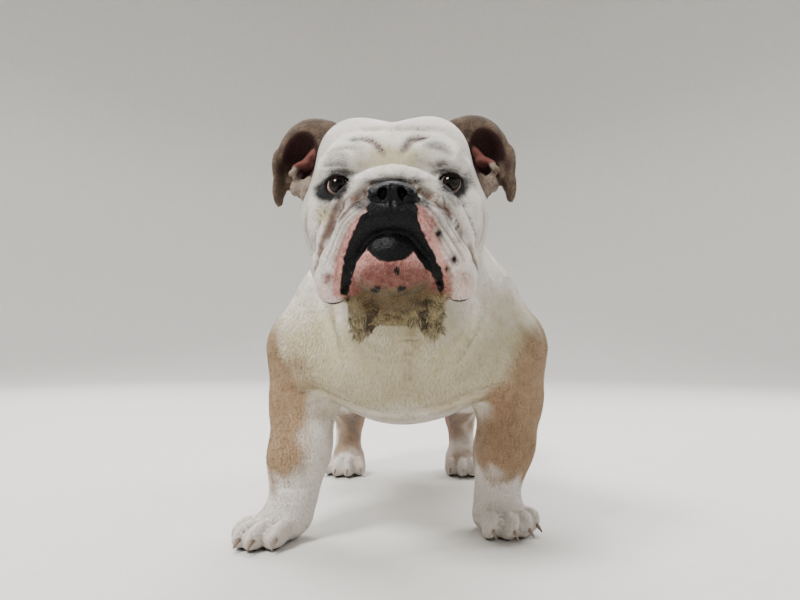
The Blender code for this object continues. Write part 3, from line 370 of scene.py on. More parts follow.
skinFolds = {
    "head": [
        # path, width, height, where it fades, and the side it is on (1 the dog's left)
        Fold([(0.0520, 0.004, 0.0445), (0.0416, 0.002, 0.0466), (0.0315, 0.0044, 0.0477), (0.0199, 0.0018, 0.0436), (0.0137, 0.0007, 0.0375),
              (0.0099, -0.0009, 0.0307), (0.0080, -0.0020, 0.0230)], 0.0034, -0.0042, 0.25, -1),
        Fold([(0.0060, -0.002, 0.0240), (0.0080, -0.001, 0.0310), (0.0120, 0.001, 0.0414), (0.0172, 0.0022, 0.0462), (0.0237, 0.0037, 0.0483),
              (0.0338, 0.0014, 0.0462), (0.0450, 0.0020, 0.0440)], 0.0034, -0.0042, 0.25, 1),
        Fold([(0.0342, 0.011, 0.0572), (0.0200, 0.0129, 0.0580), (0.0070, 0.0139, 0.0574)], 0.0034, -0.0026, 0.3, -1),
        Fold([(0.0020, 0.0150, 0.0570), (0.0176, 0.0138, 0.0594), (0.0305, 0.0106, 0.057), (0.0435, 0.012, 0.0571)],
             0.0034, -0.0030, 0.3, 1),
        Fold([(0.0750, 0.0125, 0.0312), (0.0596, 0.0006, 0.0371), (0.0465, -0.0038, 0.0384), (0.0350, -0.0065, 0.0337)],
             0.0036, -0.0034, 0.3, -1),
        Fold([(0.0750, 0.0100, 0.0375), (0.0600, 0.0010, 0.0430), (0.0440, -0.0030, 0.0440)], 0.0040, 0.0018, 0.3, -1),
        Fold([(0.0731, 0.0046, 0.0191), (0.0571, -0.0029, 0.0210), (0.0430, -0.0036, 0.0195)], 0.0026, -0.0022, 0.2, -1),
        Fold([(0.0720, 0.0046, 0.0160), (0.0571, -0.0040, 0.0175), (0.0430, -0.0040, 0.0140)], 0.0020, 0.0010, 0.2, -1),
        Fold([(0.0296, -0.0047, 0.0378), (0.0410, -0.0052, 0.0374), (0.0523, -0.0055, 0.0321), (0.0611, -0.0040, 0.0259)],
             0.0036, -0.0034, 0.3, 1),
        Fold([(0.0310, -0.0040, 0.0440), (0.0430, -0.0040, 0.0435), (0.0560, -0.0040, 0.0370)], 0.0040, 0.0018, 0.3, 1),
        Fold([(0.0400, -0.0017, 0.0150), (0.0496, -0.003, 0.0190), (0.0638, 0.0016, 0.0165), (0.0766, 0.016, 0.0105)],
             0.0026, -0.0024, 0.2, 1),
        Fold([(0.0634, 0.0065, 0.0398), (0.0760, 0.0070, 0.0242)], 0.0030, -0.0018, 0.3, 1),
        Fold([(0.0818, 0.0394, 0.0361), (0.0682, 0.0105, 0.0384), (0.0598, 0.0024, 0.0388)], 0.0030, -0.0016, 0.3, -1),
        Fold([(0.042, -0.004, -0.013), (0.052, -0.003, -0.0190), (0.064, 0.002, -0.0195), (0.074, 0.010, -0.013)], 0.0022, -0.0014),
        Fold([(0.072, 0.006, 0.003), (0.079, 0.014, -0.002), (0.086, 0.030, -0.014)], 0.0024, -0.0014),
        Fold([(0.070, 0.008, 0.010), (0.078, 0.016, 0.010), (0.086, 0.030, 0.004)], 0.0024, -0.0012),
        # above, beside and under the nose roll
        Fold([(0, -0.0300, 0.0145), (0.0180, -0.0290, 0.0135), (0.0340, -0.0240, 0.0100), (0.0480, -0.0160, -0.0010),
              (0.0592, -0.0080, -0.0190), (0.0700, 0.0020, -0.0410), (0.0765, 0.0100, -0.0670)], 0.0032, -0.0040, 0.12),
        Fold([(0.0441, -0.0316, -0.0075), (0.0603, -0.0218, -0.0286), (0.0656, -0.0131, -0.0465), (0.0752, -0.0035, -0.0591),
              (0.0808, 0.0061, -0.0721)], 0.0040, -0.0048, 0.25, -1),
        Fold([(0.0197, -0.0353, -0.0087), (0.0307, -0.0320, -0.0146), (0.0446, -0.0298, -0.0261), (0.0582, -0.0176, -0.0403),
              (0.0665, -0.0061, -0.0567)], 0.0038, -0.0052, 0.25),
        Fold([(0.0735, -0.0032, -0.0618), (0.0799, 0.0044, -0.0778), (0.084, 0.012, -0.092)], 0.0040, -0.0046, 0.3),
        Fold([(0.082, 0.016, -0.020), (0.090, 0.026, -0.045), (0.092, 0.036, -0.078)], 0.0045, -0.0024),
        Fold([(0.094, 0.040, -0.030), (0.098, 0.052, -0.055), (0.090, 0.060, -0.085)], 0.0050, -0.0020),
        # the flews' fine wrinkles, running out and down
        Fold([(0.0260, -0.0480, -0.0210), (0.0384, -0.0434, -0.0300), (0.0526, -0.0361, -0.0420), (0.0620, -0.0300, -0.0600),
              (0.0700, -0.0300, -0.0780)], 0.0020, -0.0031, 0.2),
        Fold([(0.0276, -0.0500, -0.0270), (0.0410, -0.0486, -0.0384), (0.0524, -0.0405, -0.0517), (0.0611, -0.0376, -0.0685),
              (0.0675, -0.0369, -0.0857)], 0.0020, -0.0031, 0.2),
        Fold([(0.0262, -0.0515, -0.0326), (0.0383, -0.0507, -0.0427), (0.0482, -0.0442, -0.0549), (0.0554, -0.0416, -0.0704),
              (0.0625, -0.0403, -0.0861)], 0.0019, -0.0030, 0.2),
        Fold([(0.0302, -0.0531, -0.0406), (0.0398, -0.0494, -0.0504), (0.0470, -0.0449, -0.0629), (0.0528, -0.0429, -0.0759),
              (0.0599, -0.0404, -0.0902)], 0.0019, -0.0028, 0.2),
        Fold([(0.0500, -0.0430, -0.0830), (0.0560, -0.0400, -0.0960), (0.0600, -0.0330, -0.1060)], 0.0019, -0.0022, 0.3),
        Fold([(0.0630, -0.0330, -0.0920), (0.0680, -0.0250, -0.1040)], 0.0020, -0.0022, 0.3),
        # chin and the dewlap's smile-shaped folds
        Fold([(0.0105, -0.0500, -0.0960), (0.0130, -0.0480, -0.1080)], 0.0022, -0.0014),
        Fold([(0.0220, -0.0460, -0.0920), (0.0290, -0.0400, -0.1060)], 0.0024, -0.0014),
        Fold([(0, -0.0150, -0.1350), (0.0110, -0.0150, -0.1320), (0.0240, -0.0170, -0.1270)], 0.0028, -0.0046, 0.1, -1),
        Fold([(0.0020, -0.0100, -0.1400), (0.0120, -0.0100, -0.1370), (0.0260, -0.0100, -0.1330)], 0.0024, -0.0036, 0.1, -1),
        Fold([(0, -0.0200, -0.1290), (0.0120, -0.0210, -0.1260), (0.0240, -0.0230, -0.1190)], 0.0022, -0.0030, 0.1, -1),
        Fold([(0, -0.0150, -0.1350), (0.0100, -0.0150, -0.1380), (0.0190, -0.0100, -0.1400)], 0.0028, -0.0046, 0.1, 1),
        Fold([(0, -0.0200, -0.1290), (0.0110, -0.0200, -0.1310), (0.0200, -0.0150, -0.1300)], 0.0022, -0.0030, 0.1, 1),
        Fold([(0.0290, -0.0250, -0.1160), (0.0270, -0.0160, -0.1260), (0.0260, -0.0080, -0.1400), (0.0240, 0.0060, -0.1480)],
             0.0038, -0.0075, 0.12),
        Fold([(0.0490, -0.0180, -0.1200), (0.0460, -0.0060, -0.1400), (0.0400, 0.0060, -0.1520)], 0.0026, -0.0018),
    ],
    "body": [
        Fold([(0.094, -0.062, 0.410), (0.106, -0.058, 0.350), (0.098, -0.070, 0.290), (0.060, -0.110, 0.245)], 0.0120, 0.0040),
        Fold([(0.098, -0.085, 0.395), (0.104, -0.082, 0.345), (0.094, -0.095, 0.295)], 0.0060, -0.0034),
        Fold([(0.060, 0.010, 0.415), (0.095, 0.000, 0.375), (0.118, -0.015, 0.320)], 0.0100, -0.0030),
        # the crease from armpit to armpit over the brisket
        Fold([(0.1300, -0.0360, 0.1780), (0.1050, -0.0560, 0.1690), (0.0750, -0.0740, 0.1630), (0.0427, -0.0800, 0.1600),
              (0.0000, -0.0860, 0.1620)], 0.0060, -0.0058, 0.1, -1),
        Fold([(0.1200, -0.0460, 0.1830), (0.0891, -0.0635, 0.1832), (0.0673, -0.0780, 0.1809), (0.0221, -0.0851, 0.1643),
              (0.0000, -0.0860, 0.1620)], 0.0060, -0.0058, 0.1, 1),
        # soft ridges down from the throat
        Fold([(0.0740, -0.0960, 0.2700), (0.0715, -0.0979, 0.2384), (0.0636, -0.0973, 0.2077), (0.0787, -0.0790, 0.1834)],
             0.0110, 0.0050, 0.3, -1),
        Fold([(0.0500, -0.1040, 0.2600), (0.0480, -0.1040, 0.2250), (0.0640, -0.0930, 0.2000)], 0.0100, 0.0045, 0.3, 1),
        Fold([(0, -0.1300, 0.2500), (0, -0.1170, 0.2156), (0, -0.1040, 0.1850)], 0.0110, -0.0046),
        Fold([(0.100, 0.050, 0.185), (0.112, 0.066, 0.205), (0.128, 0.072, 0.235)], 0.0070, -0.0044),
        Fold([(0.095, 0.292, 0.250), (0.094, 0.284, 0.215), (0.080, 0.286, 0.180)], 0.0090, -0.0044),
        Fold([(0.138, 0.350, 0.270), (0.140, 0.375, 0.235), (0.130, 0.395, 0.190)], 0.0120, -0.0030),
        Fold([(0.122, 0.395, 0.135), (0.120, 0.410, 0.110), (0.118, 0.412, 0.085)], 0.0055, -0.0030),
        Fold([(0.078, 0.395, 0.135), (0.078, 0.410, 0.110), (0.080, 0.412, 0.085)], 0.0055, -0.0030),
        Fold([(0.095, -0.016, 0.070), (0.112, -0.034, 0.066), (0.132, -0.036, 0.067), (0.152, -0.020, 0.072)], 0.0050, -0.0010),
        Fold([(0.098, -0.016, 0.084), (0.114, -0.034, 0.080), (0.134, -0.034, 0.082)], 0.0045, -0.0006),
        Fold([(0.100, 0.352, 0.060), (0.108, 0.364, 0.058), (0.122, 0.388, 0.060)], 0.0035, -0.0016),
        Fold([(0.150, 0.004, 0.270), (0.158, 0.010, 0.230), (0.160, 0.016, 0.190)], 0.0140, 0.0030),
        Fold([(0.118, 0.075, 0.330), (0.134, 0.070, 0.290), (0.140, 0.066, 0.250)], 0.0100, -0.0034),
        Fold([(0.070, 0.000, 0.412), (0.040, 0.040, 0.402), (0, 0.052, 0.398)], 0.0080, -0.0030, 0.1),
    ],
}

bodyForm, headForm = bodyClay(), headClay()


def lieOn(folds, form):                                 # moves each fold's path onto the form's surface
    for fold in folds:
        points = np.repeat(fold.path, 2, 0)[:-1]
        points[1::2] = (fold.path[1:] + fold.path[:-1]) / 2
        for _ in range(4):
            d = form.distance(points, False)
            slope = np.stack([form.distance(points + row, False) - d for row in np.eye(3) * 0.0003], 1) / 0.0003
            points -= slope * (d / np.maximum((slope ** 2).sum(1), 0.3))[:, None]
        fold.path = points


lieOn(skinFolds["head"] + [fold for fold in headForm.folds if fold.width < 0.0030], headForm)
lieOn(skinFolds["body"], bodyForm)
toFace = np.array(face.inverted())


def stance(p):                                          # how far the pose moves each point
    low = np.clip(1 - p[:, 2] / stanceSizes["stepHeight"], 0, 1)
    fore = np.clip((0.15 - p[:, 1]) / 0.05, 0, 1)
    ahead = stanceSizes["step"] * np.tanh(p[:, 0] / 0.04) * low ** 2 * (3 - 2 * low) * fore
    foot = np.clip(1 - p[:, 2] / stanceSizes["leanHeight"], 0, 1)
    lean = (stanceSizes["lean"] * foot ** 1.5 + stanceSizes["twist"] * p[:, 1] * foot) * fore
    return np.stack([lean, ahead, 0 * ahead], 1)


def inFace(p):                                          # the same points in the head's own frame
    return p @ toFace[:3, :3].T + toFace[:3, 3]


def pointing(q):                                        # nose and lips are set a little to the dog's right
    ahead = np.clip((-0.020 - q[:, 1]) / 0.020, 0, 1) * np.clip((0.070 - np.abs(q[:, 0])) / 0.025, 0, 1)
    shift = 0.0018 + 0.0024 * np.clip((-0.036 - q[:, 2]) / 0.012, 0, 1)
    return q + np.stack([shift * ahead, 0 * ahead, 0 * ahead], 1)


def ridges(q, folds):                                   # how far the finer folds raise the surface
    mirrored = np.abs(q) * (1, 0, 0) + q * (0, 1, 1)
    raised = np.zeros(len(q))
    for fold in folds:
        near = np.linalg.norm(mirrored - fold.middle, axis=1) < fold.reach
        if fold.side:
            near &= np.sign(q[:, 0]) == fold.side
        raised[near] += fold.lift(mirrored[near])
    return raised


def field(p, hollowed=True):                            # distance to the coat's outside, negative inside
    standing, seen = p - stance(p), inFace(p)
    body, onHead = bodyForm.distance(standing, hollowed), headForm.distance(pointing(seen), hollowed)
    if hollowed:
        body -= ridges(standing, skinFolds["body"])
        onHead -= ridges(pointing(seen), skinFolds["head"])
    return fuse(body, onHead, head["blend"])


# Meshes

skin = {
    "formVoxel": 0.005,
    "bodyVoxel": 0.005,
    "headVoxel": 0.0027,
    "seam": ((0, -0.090, 0.365), (0, 0.919, -0.394)),       # where the finer head mesh meets the body's
    "coatDepth": 0.0014,
    "faceDepth": 0.0005,
}


def meshFrom(bm, name):
    mesh = bpy.data.meshes.new(name)
    bm.to_mesh(mesh)
    bm.free()
    return mesh


def pointsOf(mesh):
    flat = np.empty(len(mesh.vertices) * 3, np.float32)
    mesh.vertices.foreach_get("co", flat)
    return flat.reshape(-1, 3).astype(float)


def setPoints(mesh, p):
    mesh.vertices.foreach_set("co", p.astype(np.float32).ravel())
    mesh.update()


def evaluated(mesh, *modifiers):                        # the mesh after these modifiers
    obj = bpy.data.objects.new("work", mesh)
    bpy.context.scene.collection.objects.link(obj)
    for kind, settings in modifiers:
        modifier = obj.modifiers.new(kind.lower(), kind)
        for key, value in settings.items():
            setattr(modifier, key, value)
    graph = bpy.context.evaluated_depsgraph_get()
    done = bpy.data.meshes.new_from_object(obj.evaluated_get(graph))
    bpy.data.objects.remove(obj)
    return done


def depthOf(p):                                         # how far the skin lies under the coat's outside
    q = inFace(p)
    front = np.clip((0.075 - q[:, 1]) / 0.05, 0, 1) * (q[:, 2] > -0.13)
    return skin["coatDepth"] + (skin["faceDepth"] - skin["coatDepth"]) * front


def settle(mesh, rounds, reach, hollowed=True, deep=False, only=None):
    # moves each point down the field's slope until it lies on the surface
    step = 0.0003
    whole = pointsOf(mesh)
    chosen = np.ones(len(whole), bool) if only is None else only(whole)
    p = whole[chosen]
    for _ in range(rounds):
        d = field(p, hollowed)
        slope = np.stack([field(p + row, hollowed) - d for row in np.eye(3) * step], 1) / step
        gap = d + (depthOf(p) if deep else 0)
        move = -slope * (gap / np.maximum((slope ** 2).sum(1), 0.3))[:, None]
        far = np.linalg.norm(move, axis=1)
        p += move * np.minimum(1, reach / np.maximum(far, 1e-9))[:, None]
    whole[chosen] = p
    setPoints(mesh, whole)


def voxels(size, smooth=2):
    return ("REMESH", {"mode": "VOXEL", "voxel_size": size}), ("SMOOTH", {"iterations": smooth})


def joined(mesh, clay, place, forms):
    bm = bmesh.new()
    bm.from_mesh(mesh)
    clay.rough(bm, place, forms)
    return meshFrom(bm, "joined")


def nothing():
    return bpy.data.meshes.new("nothing")


def halved(mesh, plane, shift, outer, close):           # the mesh on one side of a plane
    point, normal = Vector(plane[0]), Vector(plane[1]).normalized()
    bm = bmesh.new()
    bm.from_mesh(mesh)
    geometry = bm.verts[:] + bm.edges[:] + bm.faces[:]
    cut = bmesh.ops.bisect_plane(bm, geom=geometry, plane_co=point + normal * shift, plane_no=normal,
                                 clear_outer=outer, clear_inner=not outer)
    if close:
        edges = [e for e in cut["geom_cut"] if isinstance(e, bmesh.types.BMEdge)]
        bmesh.ops.holes_fill(bm, edges=edges)
    return meshFrom(bm, "half")


def makeSkinMesh():
    body = joined(nothing(), bodyForm, Matrix.Identity(4), bodyForm.forms)
    p = pointsOf(body)
    setPoints(body, p + stance(p))
    whole = evaluated(joined(body, headForm, face, headForm.forms), *voxels(skin["formVoxel"]))
    settle(whole, 2, 0.01, False)
    print("skin: rough form", len(whole.vertices))

    front = evaluated(halved(whole, skin["seam"], 0.020, True, True), *voxels(0.0035, 0))
    hollows = bpy.data.objects.new("hollows", joined(nothing(), headForm, face, headForm.hollows))
    bpy.context.scene.collection.objects.link(hollows)
    front = evaluated(front, ("BOOLEAN", {"operation": "DIFFERENCE", "solver": "MANIFOLD", "object": hollows}))
    bpy.data.objects.remove(hollows)
    front = evaluated(joined(front, headForm, face, headForm.rims), *voxels(skin["headVoxel"], 1))
    settle(front, 2, 0.003, deep=True)
    front = halved(front, skin["seam"], -0.002, True, False)
    back = halved(evaluated(whole, *voxels(skin["bodyVoxel"], 1)), skin["seam"], 0.002, False, False)
    print("skin: head", len(front.vertices), "body", len(back.vertices))

    bm = bmesh.new()
    bm.from_mesh(front)
    bm.from_mesh(back)
    dropScraps(bm)
    rims = [e for e in bm.edges if e.is_boundary]
    bmesh.ops.bridge_loops(bm, edges=rims)
    bmesh.ops.triangulate(bm, faces=[f for f in bm.faces if len(f.verts) > 4])
    bmesh.ops.recalc_face_normals(bm, faces=bm.faces)
    mesh = meshFrom(bm, "skin")
    for _ in range(2):
        settle(mesh, 1, 0.003, deep=True)
        mesh = evaluated(mesh, ("SMOOTH", {"iterations": 1, "factor": 0.4}))
    mesh = finer(mesh, nearFeatures)
    settle(mesh, 1, 0.0012, deep=True)
    mesh = finer(mesh, nearNose)
    settle(mesh, 1, 0.0012, deep=True, only=nearFeatures)
    p = pointsOf(mesh)
    p[:, 2] = np.maximum(p[:, 2], 0.0004)                 # soles lie on the floor
    setPoints(mesh, p)
    return mesh


def dropScraps(bm):                                     # keeps the two largest shells
    left, shells = set(bm.verts), []
    while left:
        start = left.pop()
        shell, stack = {start}, [start]
        while stack:
            for edge in stack.pop().link_edges:
                for vert in edge.verts:
                    if vert in left:
                        left.discard(vert)
                        shell.add(vert)
                        stack.append(vert)
        shells.append(shell)
    shells.sort(key=len, reverse=True)
    scraps = [vert for shell in shells[2:] for vert in shell]
    if scraps:
        print("skin: dropped scraps", len(scraps))
        bmesh.ops.delete(bm, geom=scraps, context="VERTS")


def nearFeatures(p):                                    # the parts of the face that need a finer mesh
    q = inFace(p)
    x = np.abs(q[:, 0])
    eyes = np.linalg.norm(np.stack([x, q[:, 1], q[:, 2]], 1) - eye, axis=1) < 0.026
    muzzle = (x < 0.064) & (q[:, 1] < -0.022) & (q[:, 2] > -0.112) & (q[:, 2] < 0.006)
    return eyes | muzzle


def nearNose(p):
    q = inFace(p)
    return (np.abs(q[:, 0]) < 0.027) & (q[:, 1] < -0.038) & (q[:, 2] > -0.034) & (q[:, 2] < 0.000)


def finer(mesh, where):
    bm = bmesh.new()
    bm.from_mesh(mesh)
    bm.faces.ensure_lookup_table()
    centres = np.array([f.calc_center_median() for f in bm.faces])
    chosen = where(centres)
    edges = {e for f, inside in zip(bm.faces, chosen) if inside for e in f.edges}
    bmesh.ops.subdivide_edges(bm, edges=list(edges), cuts=1, use_grid_fill=True)
    bmesh.ops.triangulate(bm, faces=[f for f in bm.faces if len(f.verts) > 4])
    return meshFrom(bm, "finer")


# Markings, and the shade painted into grooves, creases and the ear's hollow, as functions of place, the same for skin
# and coat. A ramp is 0.5 on a marking's edge.
# x is the dog's left. Ovals (x, z, half width, half height) and bands (x, z, half width) on the face
# are seen from the front, in metres; a last number is how strong the marking is.

faceMarks = {
    "blackOvals": [(-0.0010, -0.0185, 0.0245, 0.0150), (-0.0022, -0.0345, 0.0245, 0.0150),
                   (-0.0045, -0.0480, 0.0262, 0.0145), (-0.0036, -0.0675, 0.0232, 0.0168)],
    "blackBands": [
        [(-0.0220, -0.0460, 0.0110), (-0.0275, -0.0540, 0.0100), (-0.0365, -0.0684, 0.0086), (-0.0425, -0.0796, 0.0066),
         (-0.0470, -0.0945, 0.0052), (-0.0505, -0.1100, 0.0038)],
        [(0.0120, -0.0450, 0.0105), (0.0165, -0.0560, 0.0095), (0.0235, -0.0684, 0.0084), (0.0300, -0.0796, 0.0076),
         (0.0394, -0.0945, 0.0047), (0.0450, -0.1100, 0.0030)],
    ],
    "spots": [(0.0016, -0.0931, 0.0036, 0.0052), (-0.0200, -0.1089, 0.0064, 0.0030), (0.0055, -0.1089, 0.0060, 0.0028),
              (0.0410, -0.0565, 0.0026, 0.0044), (0.0491, -0.0914, 0.0026, 0.0036), (0.0560, -0.0812, 0.0026, 0.0034)],
    # how far bare pink skin reaches beyond the black, by height, on the dog's right and left
    "pinkHeights": (-0.110, -0.095, -0.075, -0.060, -0.045, -0.034, -0.026),
    "pinkRight": (0.011, 0.010, 0.010, 0.009, 0.007, 0.002, -0.004),
    "pinkLeft": (0.008, 0.009, 0.011, 0.012, 0.011, 0.007, -0.003),
    "pinkOvals": [(-0.0030, -0.0930, 0.0400, 0.0155, 1.0), (-0.064, -0.106, 0.019, 0.018, 0.58), (0.062, -0.106, 0.019, 0.018, 0.62),
                  (-0.056, -0.085, 0.016, 0.030, 0.35), (0.058, -0.080, 0.014, 0.030, 0.45), (0, 0.026, 0.030, 0.012, 0.22)],
    "pinkBands": [([(0.0197, -0.0087, 0.003), (0.0307, -0.0146, 0.004), (0.0446, -0.0261, 0.004), (0.0600, -0.0440, 0.003)], 0.12),
                  ([(0.0603, -0.0286, 0.003), (0.0700, -0.0500, 0.004), (0.0790, -0.0700, 0.004), (0.084, -0.092, 0.003)], 0.40)],
    "smokeAndShade": [(-0.0605, -0.0035, 0.0195, 0.0165, 1.0), (-0.0700, -0.0040, 0.0125, 0.0130, 0.95), (-0.060, -0.020, 0.016, 0.014, 0.45),
              (-0.0535, 0.0108, 0.0150, 0.0085, 0.74), (0.0530, 0.0100, 0.0150, 0.0075, 0.72), (0.0725, 0.0020, 0.0070, 0.0100, 0.80),
              (0.0585, -0.0030, 0.0165, 0.0150, 1.0), (0.0600, -0.0180, 0.0150, 0.0120, 0.50),
              (-0.058, 0.027, 0.017, 0.012, 0.42), (-0.037, 0.036, 0.011, 0.009, 0.36), (0.043, 0.037, 0.015, 0.009, 0.46),
              (0.025, 0.024, 0.009, 0.009, 0.30), (0.046, 0.018, 0.009, 0.006, 0.60), (0.0785, 0.006, 0.0060, 0.011, 0.58),
              # the two thin ovals at height 0.058 paint shade along the forehead's upper wrinkles
              (0.024, 0.058, 0.022, 0.004, 0.50), (-0.020, 0.058, 0.018, 0.003, 0.26), (0.070, 0.032, 0.008, 0.010, 0.42),
              # the first oval on the next line paints shade between the nose roll and the nose pad
              (-0.002, -0.0045, 0.023, 0.0046, 0.95), (-0.0300, -0.0280, 0.0120, 0.0100, 0.70), (0.0270, -0.0290, 0.0110, 0.0095, 0.66),
              (-0.046, -0.050, 0.016, 0.020, 0.34), (0.044, -0.046, 0.014, 0.018, 0.34), (-0.062, -0.080, 0.014, 0.024, 0.26),
              (0.0416, -0.0565, 0.0040, 0.0060, 0.95), (0.0491, -0.0914, 0.0038, 0.0046, 0.97), (0.0560, -0.0812, 0.0046, 0.0050, 0.86),
              (-0.0645, -0.0960, 0.0070, 0.0070, 0.66), (-0.0200, -0.1089, 0.0072, 0.0038, 0.95), (0.0055, -0.1089, 0.0066, 0.0036, 0.95),
              (0.034, -0.064, 0.004, 0.004, 0.6), (0.061, -0.062, 0.005, 0.006, 0.45), (-0.050, -0.066, 0.005, 0.006, 0.5)],
    # bands of painted shade along the brow wrinkles above the eyes
    "wrinkleShadeBands": [([(-0.0416, 0.0455, 0.003), (-0.0199, 0.0430, 0.003), (-0.0099, 0.0307, 0.003)], 0.62),
                   ([(0.0092, 0.0333, 0.003), (0.0172, 0.0452, 0.003), (0.0338, 0.0452, 0.003)], 0.66)],
    # the deep creases under the nose roll, with shade painted darkest at the bottom
    "creases": [[(-0.0205, -0.0060, 0.0014), (-0.0285, -0.0190, 0.0018), (-0.0376, -0.0260, 0.0018), (-0.0467, -0.0351, 0.0017),
                 (-0.0520, -0.0402, 0.0012)],
                [(0.0140, -0.0060, 0.0014), (0.0253, -0.0138, 0.0018), (0.0355, -0.0240, 0.0018), (0.0456, -0.0320, 0.0017),
                 (0.0547, -0.0402, 0.0012)]],
    "crown": (0.004, 0.0600, 0.018, 0.006),
    # cream ovals: the two over the middle are partly painted shade, above the nose roll on the brow and under the roll;
    # the last is a tear stain
    "creamAndShade": [(0, 0.024, 0.034, 0.016, 0.75), (0, -0.006, 0.035, 0.008, 0.4), (-0.072, -0.030, 0.012, 0.012, 0.8)],
    "flewEdge": -0.1160,
    "blackSoft": 0.0028,
}
bodyMarks = {
    # half width at which the fawn begins, by height, on the dog's left and right forelegs
    "heights": (0.050, 0.065, 0.080, 0.100, 0.116, 0.141, 0.166, 0.192, 0.230, 0.280, 0.330),
    "left": (0.110, 0.095, 0.082, 0.076, 0.078, 0.083, 0.094, 0.118, 0.138, 0.160, 0.185),
    "right": (0.160, 0.142, 0.128, 0.121, 0.117, 0.114, 0.112, 0.116, 0.144, 0.166, 0.190),
    # centre, radii and strength of the patches behind
    "patches": [((0.055, 0.400, 0.360), (0.095, 0.090, 0.070), 1.0), ((-0.050, 0.230, 0.390), (0.060, 0.075, 0.055), 0.9),
                ((0.115, 0.345, 0.215), (0.055, 0.070, 0.065), 0.9), ((0.088, 0.385, 0.115), (0.042, 0.060, 0.085), 1.0),
                ((-0.088, 0.385, 0.115), (0.042, 0.060, 0.085), 1.0), ((0, 0.475, 0.315), (0.034, 0.040, 0.030), 1.0)],
}


def ripple(p, size, seed):                              # smooth noise from about -1 to 1
    draw = np.random.default_rng(seed)
    total = np.zeros(len(p))
    for _ in range(6):
        way = draw.normal(size=3)
        way *= 2 * math.pi / size * draw.uniform(0.6, 1.5) / np.linalg.norm(way)
        total += np.sin(p @ way + draw.uniform(0, 2 * math.pi))
    return total / 2.6


def ramp(edge, soft):
    return np.clip(0.5 + edge / (2 * soft), 0, 1)


def oval(q, x, z, wide, high):                          # how far inside an oval, seen from the front
    return (1 - np.hypot((q[:, 0] - x) / wide, (q[:, 2] - z) / high)) * min(wide, high)


def band(q, line):                                      # how far inside a band of changing half width
    flat, best = q[:, [0, 2]], np.full(len(q), -1.0)
    for a, b in zip(line, line[1:]):
        a, b = np.array(a), np.array(b)
        along = b[:2] - a[:2]
        t = np.clip((flat - a[:2]) @ along / (along @ along), 0, 1)
        away = np.linalg.norm(flat - a[:2] - t[:, None] * along, axis=1)
        best = np.maximum(best, a[2] + (b[2] - a[2]) * t - away)
    return best


def largest(rows):
    return np.max(rows, axis=0)


def isHead(p):                                          # 1 on the head, 0 on the body
    point, normal = np.array(skin["seam"][0]), np.array(skin["seam"][1])
    return ramp(-(p - point) @ normal, 0.012)


def nearest(forms, q):
    return np.min([form.distance(q) for form in forms], axis=0)


earCup = Ball((0.1075, 0.072, 0.046), (0.0195, 0.030, 0.030), 0, (0, -20, 0))
nosePad = [Ball((0, -0.044, -0.0160), (0.0200, 0.0130, 0.0110)), Ball((0.0160, -0.0460, -0.0195), (0.0088, 0.0105, 0.0088))]


def earsAt(q, rough):                                   # ear, its lobes, its cup where the hollow's shade is painted dark, and its pink flesh: 0 to 1 each
    found = np.zeros((len(q), 4))
    near = (np.abs(q[:, 0]) > 0.050) & (q[:, 1] > 0.030) & (q[:, 1] < 0.145) & (q[:, 2] > -0.030)
    r = np.column_stack([np.abs(q[near, 0]), q[near, 1:]])
    if len(r):
        lobes, ridge = nearest(earLobes(), r), nearest(earRidge(), r)
        ear = np.minimum(nearest(earForms(), r), np.minimum(lobes, ridge)) - 0.004
        skull = nearest(skullForms(), r)
        found[near, 0] = ramp(skull - ear - 0.0030 + rough[near] * 3, 0.006) * ramp(0.006 - ear, 0.002)
        found[near, 1] = ramp(0.0020 - lobes, 0.0015)
        found[near, 2] = ramp(0.0036 - earCup.distance(r), 0.0030)
        found[near, 3] = ramp(0.0018 - ridge, 0.0022)
    return found


